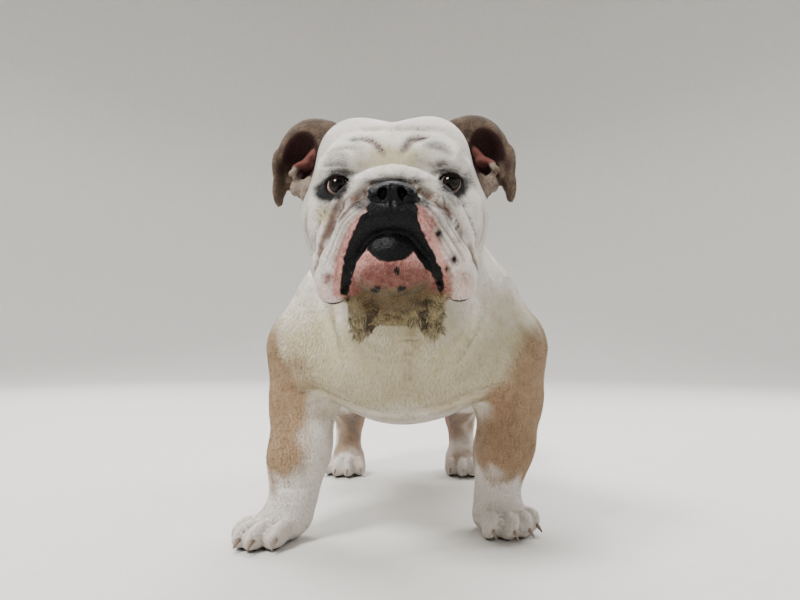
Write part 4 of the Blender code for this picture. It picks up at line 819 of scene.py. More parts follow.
def markingsAt(p):
    q = inFace(p)
    mirrored = np.column_stack([np.abs(q[:, 0]), q[:, 1], q[:, 2]])
    rough = ripple(p, 0.012, 1) * 0.0006 + ripple(p, 0.005, 2) * 0.0003
    broad = ripple(p, 0.060, 3) * 0.008 + ripple(p, 0.022, 4) * 0.004
    front = (q[:, 1] < 0.012) & (q[:, 2] > -0.130)
    eyes = np.linalg.norm(mirrored - eye, axis=1)
    ears = earsAt(q, rough)

    # Black bare skin: nose, lips, a few chin spots, lids, the edge under each flew, pads
    black = largest([oval(q, *row) for row in faceMarks["blackOvals"]] + [band(q, row) for row in faceMarks["blackBands"]])
    clean = np.where(front, black, -0.02)
    black = np.maximum(black, largest([oval(q, *row) for row in faceMarks["spots"]]) - 0.0006)
    black = np.where(front, black + rough, -0.02)
    pad = np.where((q[:, 1] < -0.034) & (q[:, 2] < -0.004), 0.0014 - nearest(nosePad, mirrored), -0.02)
    black = np.maximum(black, pad)
    under = faceMarks["flewEdge"] - q[:, 2] + 0.5 * (q[:, 1] + 0.011)
    flew = (mirrored[:, 0] > 0.0505) & (q[:, 1] < 0.02) & (q[:, 1] > -0.05) & (q[:, 2] < -0.10) & (mirrored[:, 0] < 0.08)
    black = np.where(flew, np.maximum(black, under), black)
    black = np.maximum(black, head["eyeRadius"] + 0.0030 - eyes)
    black = np.maximum(black, 0.0035 - p[:, 2])
    blackRamp = ramp(black, faceMarks["blackSoft"])

    # Pink skin: beside the lips, on flews and chin, under the roll, under the belly, on toes and inner legs
    reach = np.where(q[:, 0] > 0, np.interp(q[:, 2], faceMarks["pinkHeights"], faceMarks["pinkLeft"]),
                     np.interp(q[:, 2], faceMarks["pinkHeights"], faceMarks["pinkRight"]))
    beside = 0.95 * ramp(clean + reach + rough * 1.5, 0.0045) * (q[:, 2] > -0.114)
    pink = largest([beside] + [much * ramp(oval(q, x, z, wide, high) + rough, 0.0045)
                               for x, z, wide, high, much in faceMarks["pinkOvals"]]
                   + [much * ramp(band(mirrored, row), 0.003) for row, much in faceMarks["pinkBands"]])
    pink = np.where(front, pink, 0)
    corner = np.linalg.norm(mirrored - (0.0445, 0.0015, 0.0005), axis=1)
    pink = np.maximum(pink, ramp(0.0034 - corner, 0.0015))
    belly = ramp(0.165 - p[:, 2] + broad, 0.03) * ramp(0.085 - np.abs(p[:, 0]), 0.02) * ramp(p[:, 1] - 0.10, 0.05)
    toesPink = 0.28 * ramp(0.056 - p[:, 2] + broad * 0.4, 0.03)
    inner = 0.26 * ramp(0.21 - p[:, 2], 0.03) * ramp(0.125 + p[:, 0] * 0.1 - np.abs(p[:, 0]) + broad, 0.02)
    pink = largest([pink, 0.60 * belly, toesPink, inner])

    # Fawn: outer shoulders and forelegs, a smudge on the crown, patches on the back and hind legs
    startsAt = np.where(p[:, 0] > 0, np.interp(p[:, 2], bodyMarks["heights"], bodyMarks["left"]),
                        np.interp(p[:, 2], bodyMarks["heights"], bodyMarks["right"]))
    fawn = ramp(np.minimum(np.abs(p[:, 0]) - startsAt + broad, 0.16 - p[:, 1]), 0.022)
    fawn = np.where(p[:, 1] < -0.12, 0, fawn) * ramp(p[:, 2] - 0.070 + broad * 1.6, 0.016)
    for centre, radii, much in bodyMarks["patches"]:
        k = np.linalg.norm((p - centre) / radii, axis=1)
        fawn = np.maximum(fawn, much * ramp((1 - k) * min(radii) * 0.8 + broad * 0.8, 0.014))
    x, z, wide, high = faceMarks["crown"]
    crown = 0.50 * ramp(np.where(q[:, 1] > 0.01, oval(q, x, z, wide, high) + rough * 2, -0.1), 0.006)
    fawn = np.maximum(fawn, crown)

    # Smoke is dark hair among the white: grey at a half, black at one; in places it is shade painted as dark hair,
    # along the brow and forehead wrinkles, between the nose roll and the nose pad and in the creases under the roll.
    # Stain is the damp olive hair
    smokeAndShade = largest([much * ramp(oval(q, x, z, wide, high) + rough * 1.5, 0.0050) for x, z, wide, high, much in faceMarks["smokeAndShade"]]
                    + [much * ramp(band(q, row) + rough, 0.004) for row, much in faceMarks["wrinkleShadeBands"]])
    smokeAndShade = smokeAndShade * (q[:, 1] < 0.06)
    hind = np.linalg.norm((p - (0, 0.375, 0.095)) / (0.125, 0.055, 0.055), axis=1)
    stripes = 0.5 + 0.5 * ripple(p * (1, 1, 2.2), 0.016, 5)
    smokeAndShade = np.maximum(smokeAndShade, (0.42 + 0.45 * stripes) * ramp(1 - hind + broad * 12, 0.5))
    stain = ramp(-0.101 - q[:, 2] + 0.30 * np.abs(q[:, 0]) + rough * 3, 0.016) * ramp(0.054 - mirrored[:, 0], 0.005)
    stain = np.maximum(stain, 0.42 * ramp(-0.086 - q[:, 2], 0.004) * ramp(0.036 - mirrored[:, 0], 0.004))
    low = q[:, 2] < -0.080
    stain = stain * (q[:, 1] < 0.05) * low
    stain[low] *= ramp(0.003 - headForm.distance(q[low], False), 0.003)
    tears = oval(q, -0.0725, -0.0290, 0.0120, 0.0120) + rough * 2
    stain = np.maximum(stain, np.where(q[:, 1] < 0.03, 0.38 * ramp(tears, 0.008), 0))
    leather = np.maximum(ramp(oval(q, *faceMarks["blackOvals"][0]) - 0.0008, 0.001), ramp(pad - 0.0006, 0.001))
    leather = np.where(q[:, 1] < -0.030, leather, 0)
    lips = largest([oval(q, *row) for row in faceMarks["blackOvals"][2:]] + [band(q, row) for row in faceMarks["blackBands"]])
    lips = np.where(front, 0.92 * ramp(lips - 0.0010, 0.0015), 0)
    leather = largest([leather, lips, ramp(head["eyeRadius"] + 0.0026 - eyes, 0.0008)])

    # Cream: partly the coat's own cream and partly painted light and shade: olive bounce light on the chest and
    # underside, painted shade on the throat, on the brow's middle above the nose roll and under the roll; and a tear
    # stain
    creamAndShade = largest([much * ramp(oval(q, x, z, wide, high) + rough * 2, 0.007) for x, z, wide, high, much in faceMarks["creamAndShade"]])
    creamAndShade = np.where(front | (isHead(p) > 0.5), creamAndShade, 0)
    # the chest's cream is partly the coat's own and partly painted olive bounce light
    chest = 0.80 * (1 - isHead(p)) * ramp(0.300 - p[:, 2] + broad * 2, 0.06) * ramp(0.20 - p[:, 1], 0.10)
    chest = chest * ramp(p[:, 2] - 0.150 + broad, 0.03)
    throat = np.linalg.norm((p - (0.004, -0.145, 0.262)) / (0.060, 0.060, 0.050), axis=1)
    # Grooves: shade painted into the colour, darker in the folds' grooves, under the chin, on the throat and in the
    # body's creases
    fine = [fold for fold in skinFolds["head"] + headForm.folds if fold.width < 0.0025]
    broader = [fold for fold in skinFolds["head"] + headForm.folds if 0.0025 <= fold.width < 0.006]
    r = pointing(q)
    grooveShade = np.clip(np.maximum(-ridges(r, fine) / 0.0024, -ridges(r, broader) / 0.0032), 0, 1)
    grooveShade = grooveShade * isHead(p) * (1 - 0.15 * ramp(q[:, 2] - 0.004, 0.008))
    # painted shade under the chin, on the throat and in its vertical crease
    chin = oval(q, -0.003, -0.108, 0.050, 0.030) * front
    crease = np.linalg.norm((p - (0.004, -0.150, 0.250)) / (0.012, 0.070, 0.055), axis=1)
    # painted shade in the creases under the nose roll, as dark hair and as darkening
    deep = np.where(front & (q[:, 1] < 0.004), largest([band(q, row) for row in faceMarks["creases"]]) + rough, -0.1)
    smokeAndShade = np.maximum(smokeAndShade, 0.55 * ramp(deep, 0.0030))
    grooveShade = largest([grooveShade, ramp(deep + 0.0010, 0.0034), 0.72 * ramp(chin, 0.010), 0.38 * ramp(1 - throat, 0.7), 0.58 * ramp(1 - crease, 1.0)])
    # painted shade in the body's creases
    grooveShade = np.maximum(grooveShade, 0.7 * np.clip(-ridges(p - stance(p), skinFolds["body"]) / 0.0050, 0, 1) * (1 - isHead(p)))
    return {"marks": np.column_stack([fawn, pink, blackRamp]),
            "shade": np.column_stack([smokeAndShade, stain, leather]),
            "ears": ears[:, :3],
            # the throat's cream is painted shade and bounce light
            "tones": np.column_stack([largest([creamAndShade, chest, 0.9 * ramp(1 - throat, 0.7)]), grooveShade, ears[:, 3]])}


# Materials

colours = {
    "whiteHair": "E6E2DB",
    # cream hair, also used for painted bounce light and shade
    "creamHairAndShade": "BEB592",
    "fawnHair": "AB9174",
    "fawnDark": "80684C",
    "earHair": "54463D",
    "earPale": "766452",
    # painted shade inside the ear's cup
    "earHollowShade": "301D1C",
    "earFlesh": "6C443E",
    "lobeSkin": "8D8075",
    # the tint that paints shade into grooves, creases, under the chin and on the throat
    "grooveShadeTint": "886C62",
    "greyHair": "85817F",
    "blackHair": "121214",
    "pinkSkin": "C58C83",
    "pinkDeep": "99605A",
    "blackSkin": "08090B",
    "blackWorn": "17191D",
    "oliveHair": "A59870",
    "brownHair": "5E4C2E",
}


def linear(name):                                       # an sRGB hex value as a linear colour
    code = colours.get(name, name)
    parts = [int(code[i:i + 2], 16) / 255 for i in (0, 2, 4)]
    return (*[c / 12.92 if c <= 0.04045 else ((c + 0.055) / 1.055) ** 2.4 for c in parts], 1)


def newMaterial(name):
    material = bpy.data.materials.new(name)
    material.use_nodes = True
    return material, material.node_tree, material.node_tree.nodes["Principled BSDF"]


def addNode(tree, kind, settings=None, links=None):     # a node, its settings and what feeds it
    node = tree.nodes.new(kind)
    for key, value in (settings or {}).items():
        if isinstance(key, str) and hasattr(node, key):
            setattr(node, key, value)
        else:
            node.inputs[key].default_value = value
    for key, socket in (links or {}).items():
        tree.links.new(socket, node.inputs[key])
    return node


def coatColour(tree, place):
    # Hair and bare skin by the markings: each ramp is roughened by noise, then sharpened to its real edge
    marks = addNode(tree, "ShaderNodeAttribute", {"attribute_name": "marks"})
    shade = addNode(tree, "ShaderNodeAttribute", {"attribute_name": "shade"})
    ears = addNode(tree, "ShaderNodeAttribute", {"attribute_name": "ears"})
    tones = addNode(tree, "ShaderNodeAttribute", {"attribute_name": "tones"})
    fawn, pink, black = addNode(tree, "ShaderNodeSeparateColor", {}, {0: marks.outputs["Color"]}).outputs
    smokeAndShade, stain, leather = addNode(tree, "ShaderNodeSeparateColor", {}, {0: shade.outputs["Color"]}).outputs
    ear, lobe, cupShade = addNode(tree, "ShaderNodeSeparateColor", {}, {0: ears.outputs["Color"]}).outputs
    creamAndShade, grooveShade, flesh = addNode(tree, "ShaderNodeSeparateColor", {}, {0: tones.outputs["Color"]}).outputs
    # 3 mm mottle for skin edges, 14 mm drifts in the coat, 1 mm hair by hair
    mottle = addNode(tree, "ShaderNodeTexNoise", {"Scale": 330, "Detail": 4, "Roughness": 0.6}, {"Vector": place})
    drift = addNode(tree, "ShaderNodeTexNoise", {"Scale": 70, "Detail": 3, "Roughness": 0.55}, {"Vector": place})
    hairs = addNode(tree, "ShaderNodeTexNoise", {"Scale": 900, "Detail": 2, "Roughness": 0.7}, {"Vector": place})

    def edged(mark, noise, spread, low, high):          # the ramp moved by the noise, then steepened
        moved = addNode(tree, "ShaderNodeMath", {"operation": "MULTIPLY_ADD", 1: spread, 2: -spread / 2},
                        {0: noise.outputs["Fac"]})
        addition = addNode(tree, "ShaderNodeMath", {"operation": "ADD"}, {0: mark, 1: moved.outputs[0]})
        steep = {"interpolation_type": "SMOOTHSTEP", "From Min": low, "From Max": high}
        return addNode(tree, "ShaderNodeMapRange", steep, {"Value": addition.outputs[0]}).outputs["Result"]

    def blended(factor, under, over):                   # one colour over another
        mix = addNode(tree, "ShaderNodeMix", {"data_type": "RGBA"}, {0: factor})
        for index, colour in ((6, under), (7, over)):
            if isinstance(colour, str):
                mix.inputs[index].default_value = linear(colour)
            else:
                tree.links.new(colour, mix.inputs[index])
        return mix.outputs[2]

    creamy = addNode(tree, "ShaderNodeMapRange", {"From Min": 0.45, "From Max": 0.75, "To Max": 0.22},
                     {"Value": drift.outputs["Fac"]})
    white = blended(creamy.outputs["Result"], "whiteHair", "creamHairAndShade")
    white = blended(edged(creamAndShade, drift, 0.5, 0.05, 1.0), white, "creamHairAndShade")
    tan = blended(edged(hairs.outputs["Fac"], drift, 0.6, 0.30, 0.80), "fawnHair", "fawnDark")
    colour = blended(edged(fawn, hairs, 0.35, 0.10, 0.95), white, tan)
    brown = blended(edged(drift.outputs["Fac"], mottle, 0.8, 0.35, 0.70), "earHair", "earPale")
    colour = blended(edged(ear, mottle, 0.4, 0.20, 0.75), colour, brown)
    # painted shade in the ear's hollow
    colour = blended(edged(cupShade, mottle, 0.5, 0.20, 0.80), colour, "earHollowShade")
    colour = blended(edged(flesh, mottle, 0.6, 0.30, 0.90), colour, "earFlesh")
    pale = blended(edged(drift.outputs["Fac"], mottle, 0.9, 0.30, 0.85), "lobeSkin", "earHair")
    colour = blended(edged(lobe, mottle, 0.3, 0.35, 0.75), colour, pale)
    soot = blended(edged(smokeAndShade, hairs, 0.15, 0.45, 0.95), "greyHair", "blackHair")
    colour = blended(edged(smokeAndShade, hairs, 0.55, 0.12, 0.72), colour, soot)
    olive = blended(edged(hairs.outputs["Fac"], drift, 0.9, 0.30, 0.80), "oliveHair", "brownHair")
    colour = blended(edged(stain, mottle, 0.5, 0.20, 0.90), colour, olive)
    rosy = blended(edged(mottle.outputs["Fac"], drift, 0.7, 0.35, 0.70), "pinkSkin", "pinkDeep")
    colour = blended(edged(pink, mottle, 0.45, 0.12, 1.05), colour, rosy)
    ink = blended(edged(mottle.outputs["Fac"], hairs, 0.5, 0.55, 0.85), "blackSkin", "blackWorn")
    blackness = edged(black, hairs, 0.34, 0.36, 0.64)
    colour = blended(blackness, colour, ink)
    # painted shade: the colour is multiplied darker in grooves, under the chin, on the throat and in body creases
    sunk = {"data_type": "RGBA", "blend_type": "MULTIPLY", 7: linear("grooveShadeTint")}
    colour = addNode(tree, "ShaderNodeMix", sunk, {0: edged(grooveShade, hairs, 0.25, 0.08, 1.0), 6: colour}).outputs[2]
    return colour, leather, mottle, hairs


def shortCoatSkin():
    # A dog's skin under short white hair: soft and dull, pink or black where bare, wet-looking on nose and lips
    material, tree, shader = newMaterial("skin under short hair")
    place = addNode(tree, "ShaderNodeTexCoord").outputs["Object"]
    colour, leather, mottle, hairs = coatColour(tree, place)
    tree.links.new(colour, shader.inputs["Base Color"])
    shine = addNode(tree, "ShaderNodeMapRange", {"To Min": 0.72, "To Max": 0.15}, {"Value": leather})
    dampness = addNode(tree, "ShaderNodeMath", {"operation": "MULTIPLY_ADD", 1: 0.16},
                       {0: mottle.outputs["Fac"], 2: shine.outputs[0]})
    tree.links.new(dampness.outputs[0], shader.inputs["Roughness"])
    shader.inputs["IOR"].default_value = 1.38             # skin
    shader.inputs["Specular IOR Level"].default_value = 0.22
    # Hair lies as 1 mm ripples; nose and lips have pebbles about 1.1 mm apart
    pebbles = addNode(tree, "ShaderNodeTexVoronoi", {"Scale": 900}, {"Vector": place})
    ridges_ = addNode(tree, "ShaderNodeMath", {"operation": "MULTIPLY", 1: -1.1}, {0: pebbles.outputs["Distance"]})
    relief = addNode(tree, "ShaderNodeMix", {"data_type": "FLOAT"},
                     {0: leather, 2: hairs.outputs["Fac"], 3: ridges_.outputs[0]})
    bump = addNode(tree, "ShaderNodeBump", {"Strength": 0.75, "Distance": 0.0005}, {"Height": relief.outputs[0]})
    tree.links.new(bump.outputs["Normal"], shader.inputs["Normal"])
    return material


def shortHair():
    # Short flat dog hair: dull, paler to the tip, each tuft a little lighter or darker than the next
    material, tree, shader = newMaterial("short dog hair")
    place = addNode(tree, "ShaderNodeTexCoord").outputs["Object"]
    colour = coatColour(tree, place)[0]
    tuft = addNode(tree, "ShaderNodeAttribute", {"attribute_name": "tuft"})
    chance, along, _ = addNode(tree, "ShaderNodeSeparateColor", {}, {0: tuft.outputs["Color"]}).outputs
    value = addNode(tree, "ShaderNodeMath", {"operation": "MULTIPLY_ADD", 1: 0.32, 2: 0.74}, {0: chance})
    tip = addNode(tree, "ShaderNodeMath", {"operation": "MULTIPLY_ADD", 1: 0.12}, {0: along, 2: value.outputs[0]})
    toned = addNode(tree, "ShaderNodeHueSaturation", {}, {"Value": tip.outputs[0], "Color": colour})
    tree.links.new(toned.outputs["Color"], shader.inputs["Base Color"])
    shader.inputs["Roughness"].default_value = 0.62
    shader.inputs["IOR"].default_value = 1.55             # keratin
    return material


# Pieces of the body

def finished(mesh, name, material, replaced=()):
    mesh.transform(toRow)
    mesh.shade_smooth()
    mesh.materials.clear()
    mesh.materials.append(material)
    piece = bpy.data.objects.new(name, mesh)
    bpy.context.scene.collection.objects.link(piece)
    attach(piece, "root")
    if replaced:
        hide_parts(*replaced)
    return piece


def giveMarkings(mesh, found):
    for name, rows in found.items():
        layer = mesh.attributes.new(name, "FLOAT_COLOR", "POINT")
        layer.data.foreach_set("color", np.column_stack([rows, np.ones(len(rows))]).astype(np.float32).ravel())


skinMesh = makeSkinMesh()
giveMarkings(skinMesh, markingsAt(pointsOf(skinMesh)))
fleshNodes = ["head", "neck", "chest", "abdomen", "rump", "tail", "lower_jaw", "nose", "ear_left", "ear_right"]
fleshNodes += [f"{part}_{leg}_{side}" for part in ("leg_upper", "leg_lower", "paw")
               for leg in ("fore", "hind") for side in ("left", "right")]
bareSkin = skinMesh.copy()                              # kept in the form's frame for the coat
finished(skinMesh, "bulldog_skin", shortCoatSkin(), fleshNodes)
print("skin: triangles", sum(len(f.vertices) - 2 for f in skinMesh.polygons))


# The coat: solid tufts over the skin, each a flattened spike of few faces

coat = {
    "tufts": 335000,
    "lift": 3,                # degrees off the skin, more where the hair is shortest
    "heights": (0, 0.05, 0.08, 0.15, 0.22, 0.30),
    "lengths": (0.0032, 0.0038, 0.0046, 0.0052, 0.0064, 0.0072),
    "headLengths": (0.0027, 0.0048, 0.0027),               # face, skull, ears
    "bakePatch": 0.003,       # side of a tuft's patch on the OFBake map
    "seed": 41,
}


def trianglesOf(mesh):
    mesh.calc_loop_triangles()
    corners = np.empty(len(mesh.loop_triangles) * 3, np.int32)
    mesh.loop_triangles.foreach_get("vertices", corners)
    normals = np.empty(len(mesh.vertices) * 3, np.float32)
    mesh.vertices.foreach_get("normal", normals)
    return corners.reshape(-1, 3), normals.reshape(-1, 3).astype(float)


def unit(v):
    return v / np.maximum(np.linalg.norm(v, axis=1), 1e-9)[:, None]


def lieOf(p, normals, ear):                             # the way the hair lies at each point
    q = inFace(p)
    side = np.tanh(p[:, 0] / 0.02)
    fromNose = unit(q - (0, -0.050, -0.006))
    down = ramp(-0.030 - q[:, 2], 0.020)[:, None]
    headWay = fromNose * (1, 1.2, 1) + down * np.column_stack([0.2 * side, 0.3 + 0 * side, -0.9 + 0 * side])
    overFold = ramp(0.066 - q[:, 2], 0.012)
    earWay = np.column_stack([side * (1 - 0.8 * overFold), 0.15 + 0 * side, 0.15 - 1.1 * overFold])
    headWay = headWay * (1 - ear[:, None]) + earWay * ear[:, None]
    back = ramp(p[:, 1] - 0.02, 0.06)[:, None]
    low = ramp(0.20 - p[:, 2], 0.05)[:, None]
    out = np.column_stack([0.45 * side, 0 * side, 0 * side])
    frontWay = out + (0, 0.35, -1)
    bodyWay = frontWay * (1 - back) + np.array((0, 1, -0.42)) * back
    bodyWay = bodyWay * (1 - low) + np.array((0, 0.22, -1)) * low
    h = isHead(p)[:, None]
    way = headWay * h + bodyWay * (1 - h)
    way -= normals * (way * normals).sum(1)[:, None]
    return unit(way)


def hairLength(p, ear):
    q = inFace(p)
    face_, skull, onEar = coat["headLengths"]
    onHead = face_ + (skull - face_) * ramp(q[:, 1] - 0.020, 0.03)
    onHead = onHead * (1 - ear) + onEar * ear
    onBody = np.interp(p[:, 2], coat["heights"], coat["lengths"])
    h = isHead(p)
    return onHead * h + onBody * (1 - h)


def scattered(mesh, density, count, rng):
    # roots spread evenly by weight over the mesh: points and normals
    corners, normals = trianglesOf(mesh)
    points = pointsOf(mesh)
    a, b, c = (points[corners[:, i]] for i in range(3))
    weight = np.linalg.norm(np.cross(b - a, c - a), axis=1) * density((a + b + c) / 3)
    total = np.cumsum(weight)
    picks = (np.arange(count) + rng.random(count)) / count * total[-1]
    chosen = np.minimum(np.searchsorted(total, picks), len(corners) - 1)
    u, v = rng.random(count), rng.random(count)
    flip = u + v > 1
    u[flip], v[flip] = 1 - u[flip], 1 - v[flip]
    share = np.column_stack([1 - u - v, u, v])[:, :, None]
    return (points[corners[chosen]] * share).sum(1), unit((normals[corners[chosen]] * share).sum(1))


def spikes(name, lines, sides, ups, widths, heights):
    # Closed three-sided spikes along lines of k points: widths and heights are n by k - 1
    n, k = lines.shape[:2]
    per = 3 * (k - 1) + 1
    verts = np.empty((n, per, 3), np.float32)
    for j in range(k - 1):
        verts[:, 3 * j] = lines[:, j] - sides * widths[:, j, None]
        verts[:, 3 * j + 1] = lines[:, j] + sides * widths[:, j, None]
        verts[:, 3 * j + 2] = lines[:, j] + ups * heights[:, j, None]
    verts[:, -1] = lines[:, -1]
    faces = [(0, 2, 1)]
    for j in range(k - 2):
        for i, m in ((0, 1), (1, 2), (2, 0)):
            a, b, c, d = 3 * j + i, 3 * j + m, 3 * j + 3 + m, 3 * j + 3 + i
            faces += [(a, b, c), (a, c, d)]
    last = 3 * (k - 2)
    faces += [(last, last + 1, per - 1), (last + 1, last + 2, per - 1), (last + 2, last, per - 1)]
    loops = (np.arange(n)[:, None, None] * per + np.array(faces)[None]).astype(np.int32).ravel()
    mesh = bpy.data.meshes.new(name)
    mesh.vertices.add(n * per)
    mesh.vertices.foreach_set("co", verts.ravel())
    mesh.loops.add(len(loops))
    mesh.loops.foreach_set("vertex_index", loops)
    mesh.polygons.add(len(loops) // 3)
    mesh.polygons.foreach_set("loop_start", np.arange(0, len(loops), 3, dtype=np.int32))
    mesh.update(calc_edges=True)
    return mesh, per, loops


def chartOf(roots, normals):
    # The roots' place on a box unwrap of the skin: six ways to face, left and right halves apart
    axis = np.abs(normals).argmax(1)
    positive = normals[np.arange(len(normals)), axis] > 0
    chart = axis * 4 + positive * 2 + (roots[:, 0] > 0)
    low, high = roots.min(0), roots.max(0)
    size = (high - low).max()
    flat = np.empty((len(roots), 2))
    for a, (u, v) in enumerate(((1, 2), (0, 2), (0, 1))):
        on = axis == a
        flat[on] = ((roots - low) / size)[on][:, [u, v]]
    cell = np.column_stack([chart % 4, chart // 4])
    return (cell + 0.04 + 0.92 * flat) / (4, 3)


def dressed(mesh, per, loops, k, roots, normals, found, rng):
    # the markings at each root, chance and place along the tuft, and the bake map
    giveMarkings(mesh, {key: np.repeat(rows, per, 0) for key, rows in found.items()})
    along = np.append(np.repeat(np.linspace(0, 1, k)[:-1], 3), 1)
    chance = np.repeat(rng.random(len(roots)), per)
    giveMarkings(mesh, {"tuft": np.column_stack([chance, np.tile(along, len(roots)), 0 * chance])})
    corner = np.zeros((per, 2))
    corner[:, 0] = [(0, 1, 0.5)[i % 3] for i in range(per)]
    corner[:, 1] = along
    corner[-1] = (0.5, 1)
    patch = np.repeat(chartOf(roots, normals), per, 0) + (np.tile(corner, (len(roots), 1)) - 0.5) * coat["bakePatch"]
    layer = mesh.uv_layers.new(name="OFBake")
    layer.data.foreach_set("uv", patch[loops].astype(np.float32).ravel())


def turned(ways, normals, angles):                      # each way turned about its normal
    return ways * np.cos(angles)[:, None] + np.cross(normals, ways) * np.sin(angles)[:, None]


def bareness(p, found):                                 # 1 where no hair grows
    leather = found["shade"][:, 2]
    pink = found["marks"][:, 1]
    inEar = np.maximum(found["tones"][:, 2], np.maximum(found["ears"][:, 1], 0.8 * found["ears"][:, 2]))
    return np.clip(leather * 1.6 + np.where(isHead(p) > 0.5, 0.45, 0.2) * pink + 1.1 * inEar, 0, 1)


def mixedHair(found, rng):
    # where two colours meet each tuft is mostly the one or the other
    for key, column, spread in (("shade", 0, 0.55), ("marks", 0, 0.40), ("shade", 1, 0.30)):
        part = found[key][:, column]
        edge = 4 * part * (1 - part)
        found[key][:, column] = np.clip(part + edge * spread * (rng.random(len(part)) - 0.5), 0, 1)
    found["marks"][:, 1] *= 0.74                          # white hairs over the pink skin
    return found


def tuftDensity(p):
    # tufts by area: closest on the face and feet, none on nose, lips and lids
    found = markingsAt(p)
    q = inFace(p)
    onFace = isHead(p) * ramp(0.055 - q[:, 1], 0.025)
    feetToo = ramp(0.06 - p[:, 2], 0.02)
    close = 1 + 1.5 * isHead(p) + 1.3 * onFace + 1.3 * feetToo
    inEye = np.linalg.norm(np.column_stack([np.abs(q[:, 0]), q[:, 1:]]) - eye, axis=1) < head["eyeRadius"] + 0.0028
    return close * (1 - bareness(p, found)) * ~inEye * (p[:, 2] > 0.004)


def makeCoat(mesh, material):
    rng = np.random.default_rng(coat["seed"])
    roots, normals = scattered(mesh, tuftDensity, coat["tufts"], rng)
    found = mixedHair(markingsAt(roots), rng)
    ear = found["ears"][:, 0]
    ways = lieOf(roots, normals, ear)
    bend = 0.18 * ripple(roots, 0.060, 11) + 0.06 * ripple(roots, 0.018, 12) + rng.normal(0, 0.10, len(roots))
    ways = turned(ways, normals, bend)
    length = hairLength(roots, ear) * rng.uniform(0.75, 1.25, len(roots))
    lift = np.radians(coat["lift"] + 14 * np.clip(1 - length / 0.007, 0, 1)) * rng.uniform(0.5, 1.5, len(roots))
    wide = 0.5 * np.clip(0.115 * length, 0.00042, 0.00075) * rng.uniform(0.8, 1.3, len(roots))
    start = roots - normals * (0.03 * length)[:, None]
    tips = start + ways * (length * np.cos(lift))[:, None] + normals * (length * np.sin(lift))[:, None]
    q, h = inFace(roots), isHead(roots) > 0.5
    regions = {
        "coat_face_left": h & (q[:, 1] < 0.030) & (q[:, 0] > 0),
        "coat_face_right": h & (q[:, 1] < 0.030) & (q[:, 0] <= 0),
        "coat_skull_left": h & (q[:, 1] >= 0.030) & (q[:, 0] > 0),
        "coat_skull_right": h & (q[:, 1] >= 0.030) & (q[:, 0] <= 0),
        "coat_chest": ~h & (roots[:, 1] < 0.03) & (roots[:, 2] > 0.16),
        "coat_shoulders": ~h & (roots[:, 1] >= 0.03) & (roots[:, 1] < 0.17) & (roots[:, 2] > 0.16),
        "coat_trunk": ~h & (roots[:, 1] >= 0.17) & (roots[:, 1] < 0.30) & (roots[:, 2] > 0.13),
        "coat_rump": ~h & (roots[:, 1] >= 0.30) & (roots[:, 2] > 0.13),
    }
    taken = np.any(list(regions.values()), axis=0)
    regions["coat_forelegs"] = ~taken & (roots[:, 1] < 0.17)
    regions["coat_hindlegs"] = ~taken & (roots[:, 1] >= 0.17)
    for name, chosen in regions.items():
        lines = np.stack([start[chosen], tips[chosen]], 1)
        widths, across = wide[chosen][:, None], np.cross(normals[chosen], ways[chosen])
        tufts, per, loops = spikes(name, lines, across, normals[chosen], widths, widths * 0.4)
        here = {key: rows[chosen] for key, rows in found.items()}
        dressed(tufts, per, loops, 2, roots[chosen], normals[chosen], here, rng)
        finished(tufts, name, material)
        print(name, "tufts", int(chosen.sum()), "triangles", len(tufts.polygons))


makeCoat(bareSkin, shortHair())


# Eyes

eyeBall = {
    "radius": 0.0120,
    "irisRadius": 0.0089,
    "pupilRadius": 0.0056,
    "bulge": 0.0007,          # how far the clear front stands out
    "gaze": {1: (0.10, 0.12), -1: (0.02, 0.12)},         # turned to the side and up, in radians, left then right eye
}


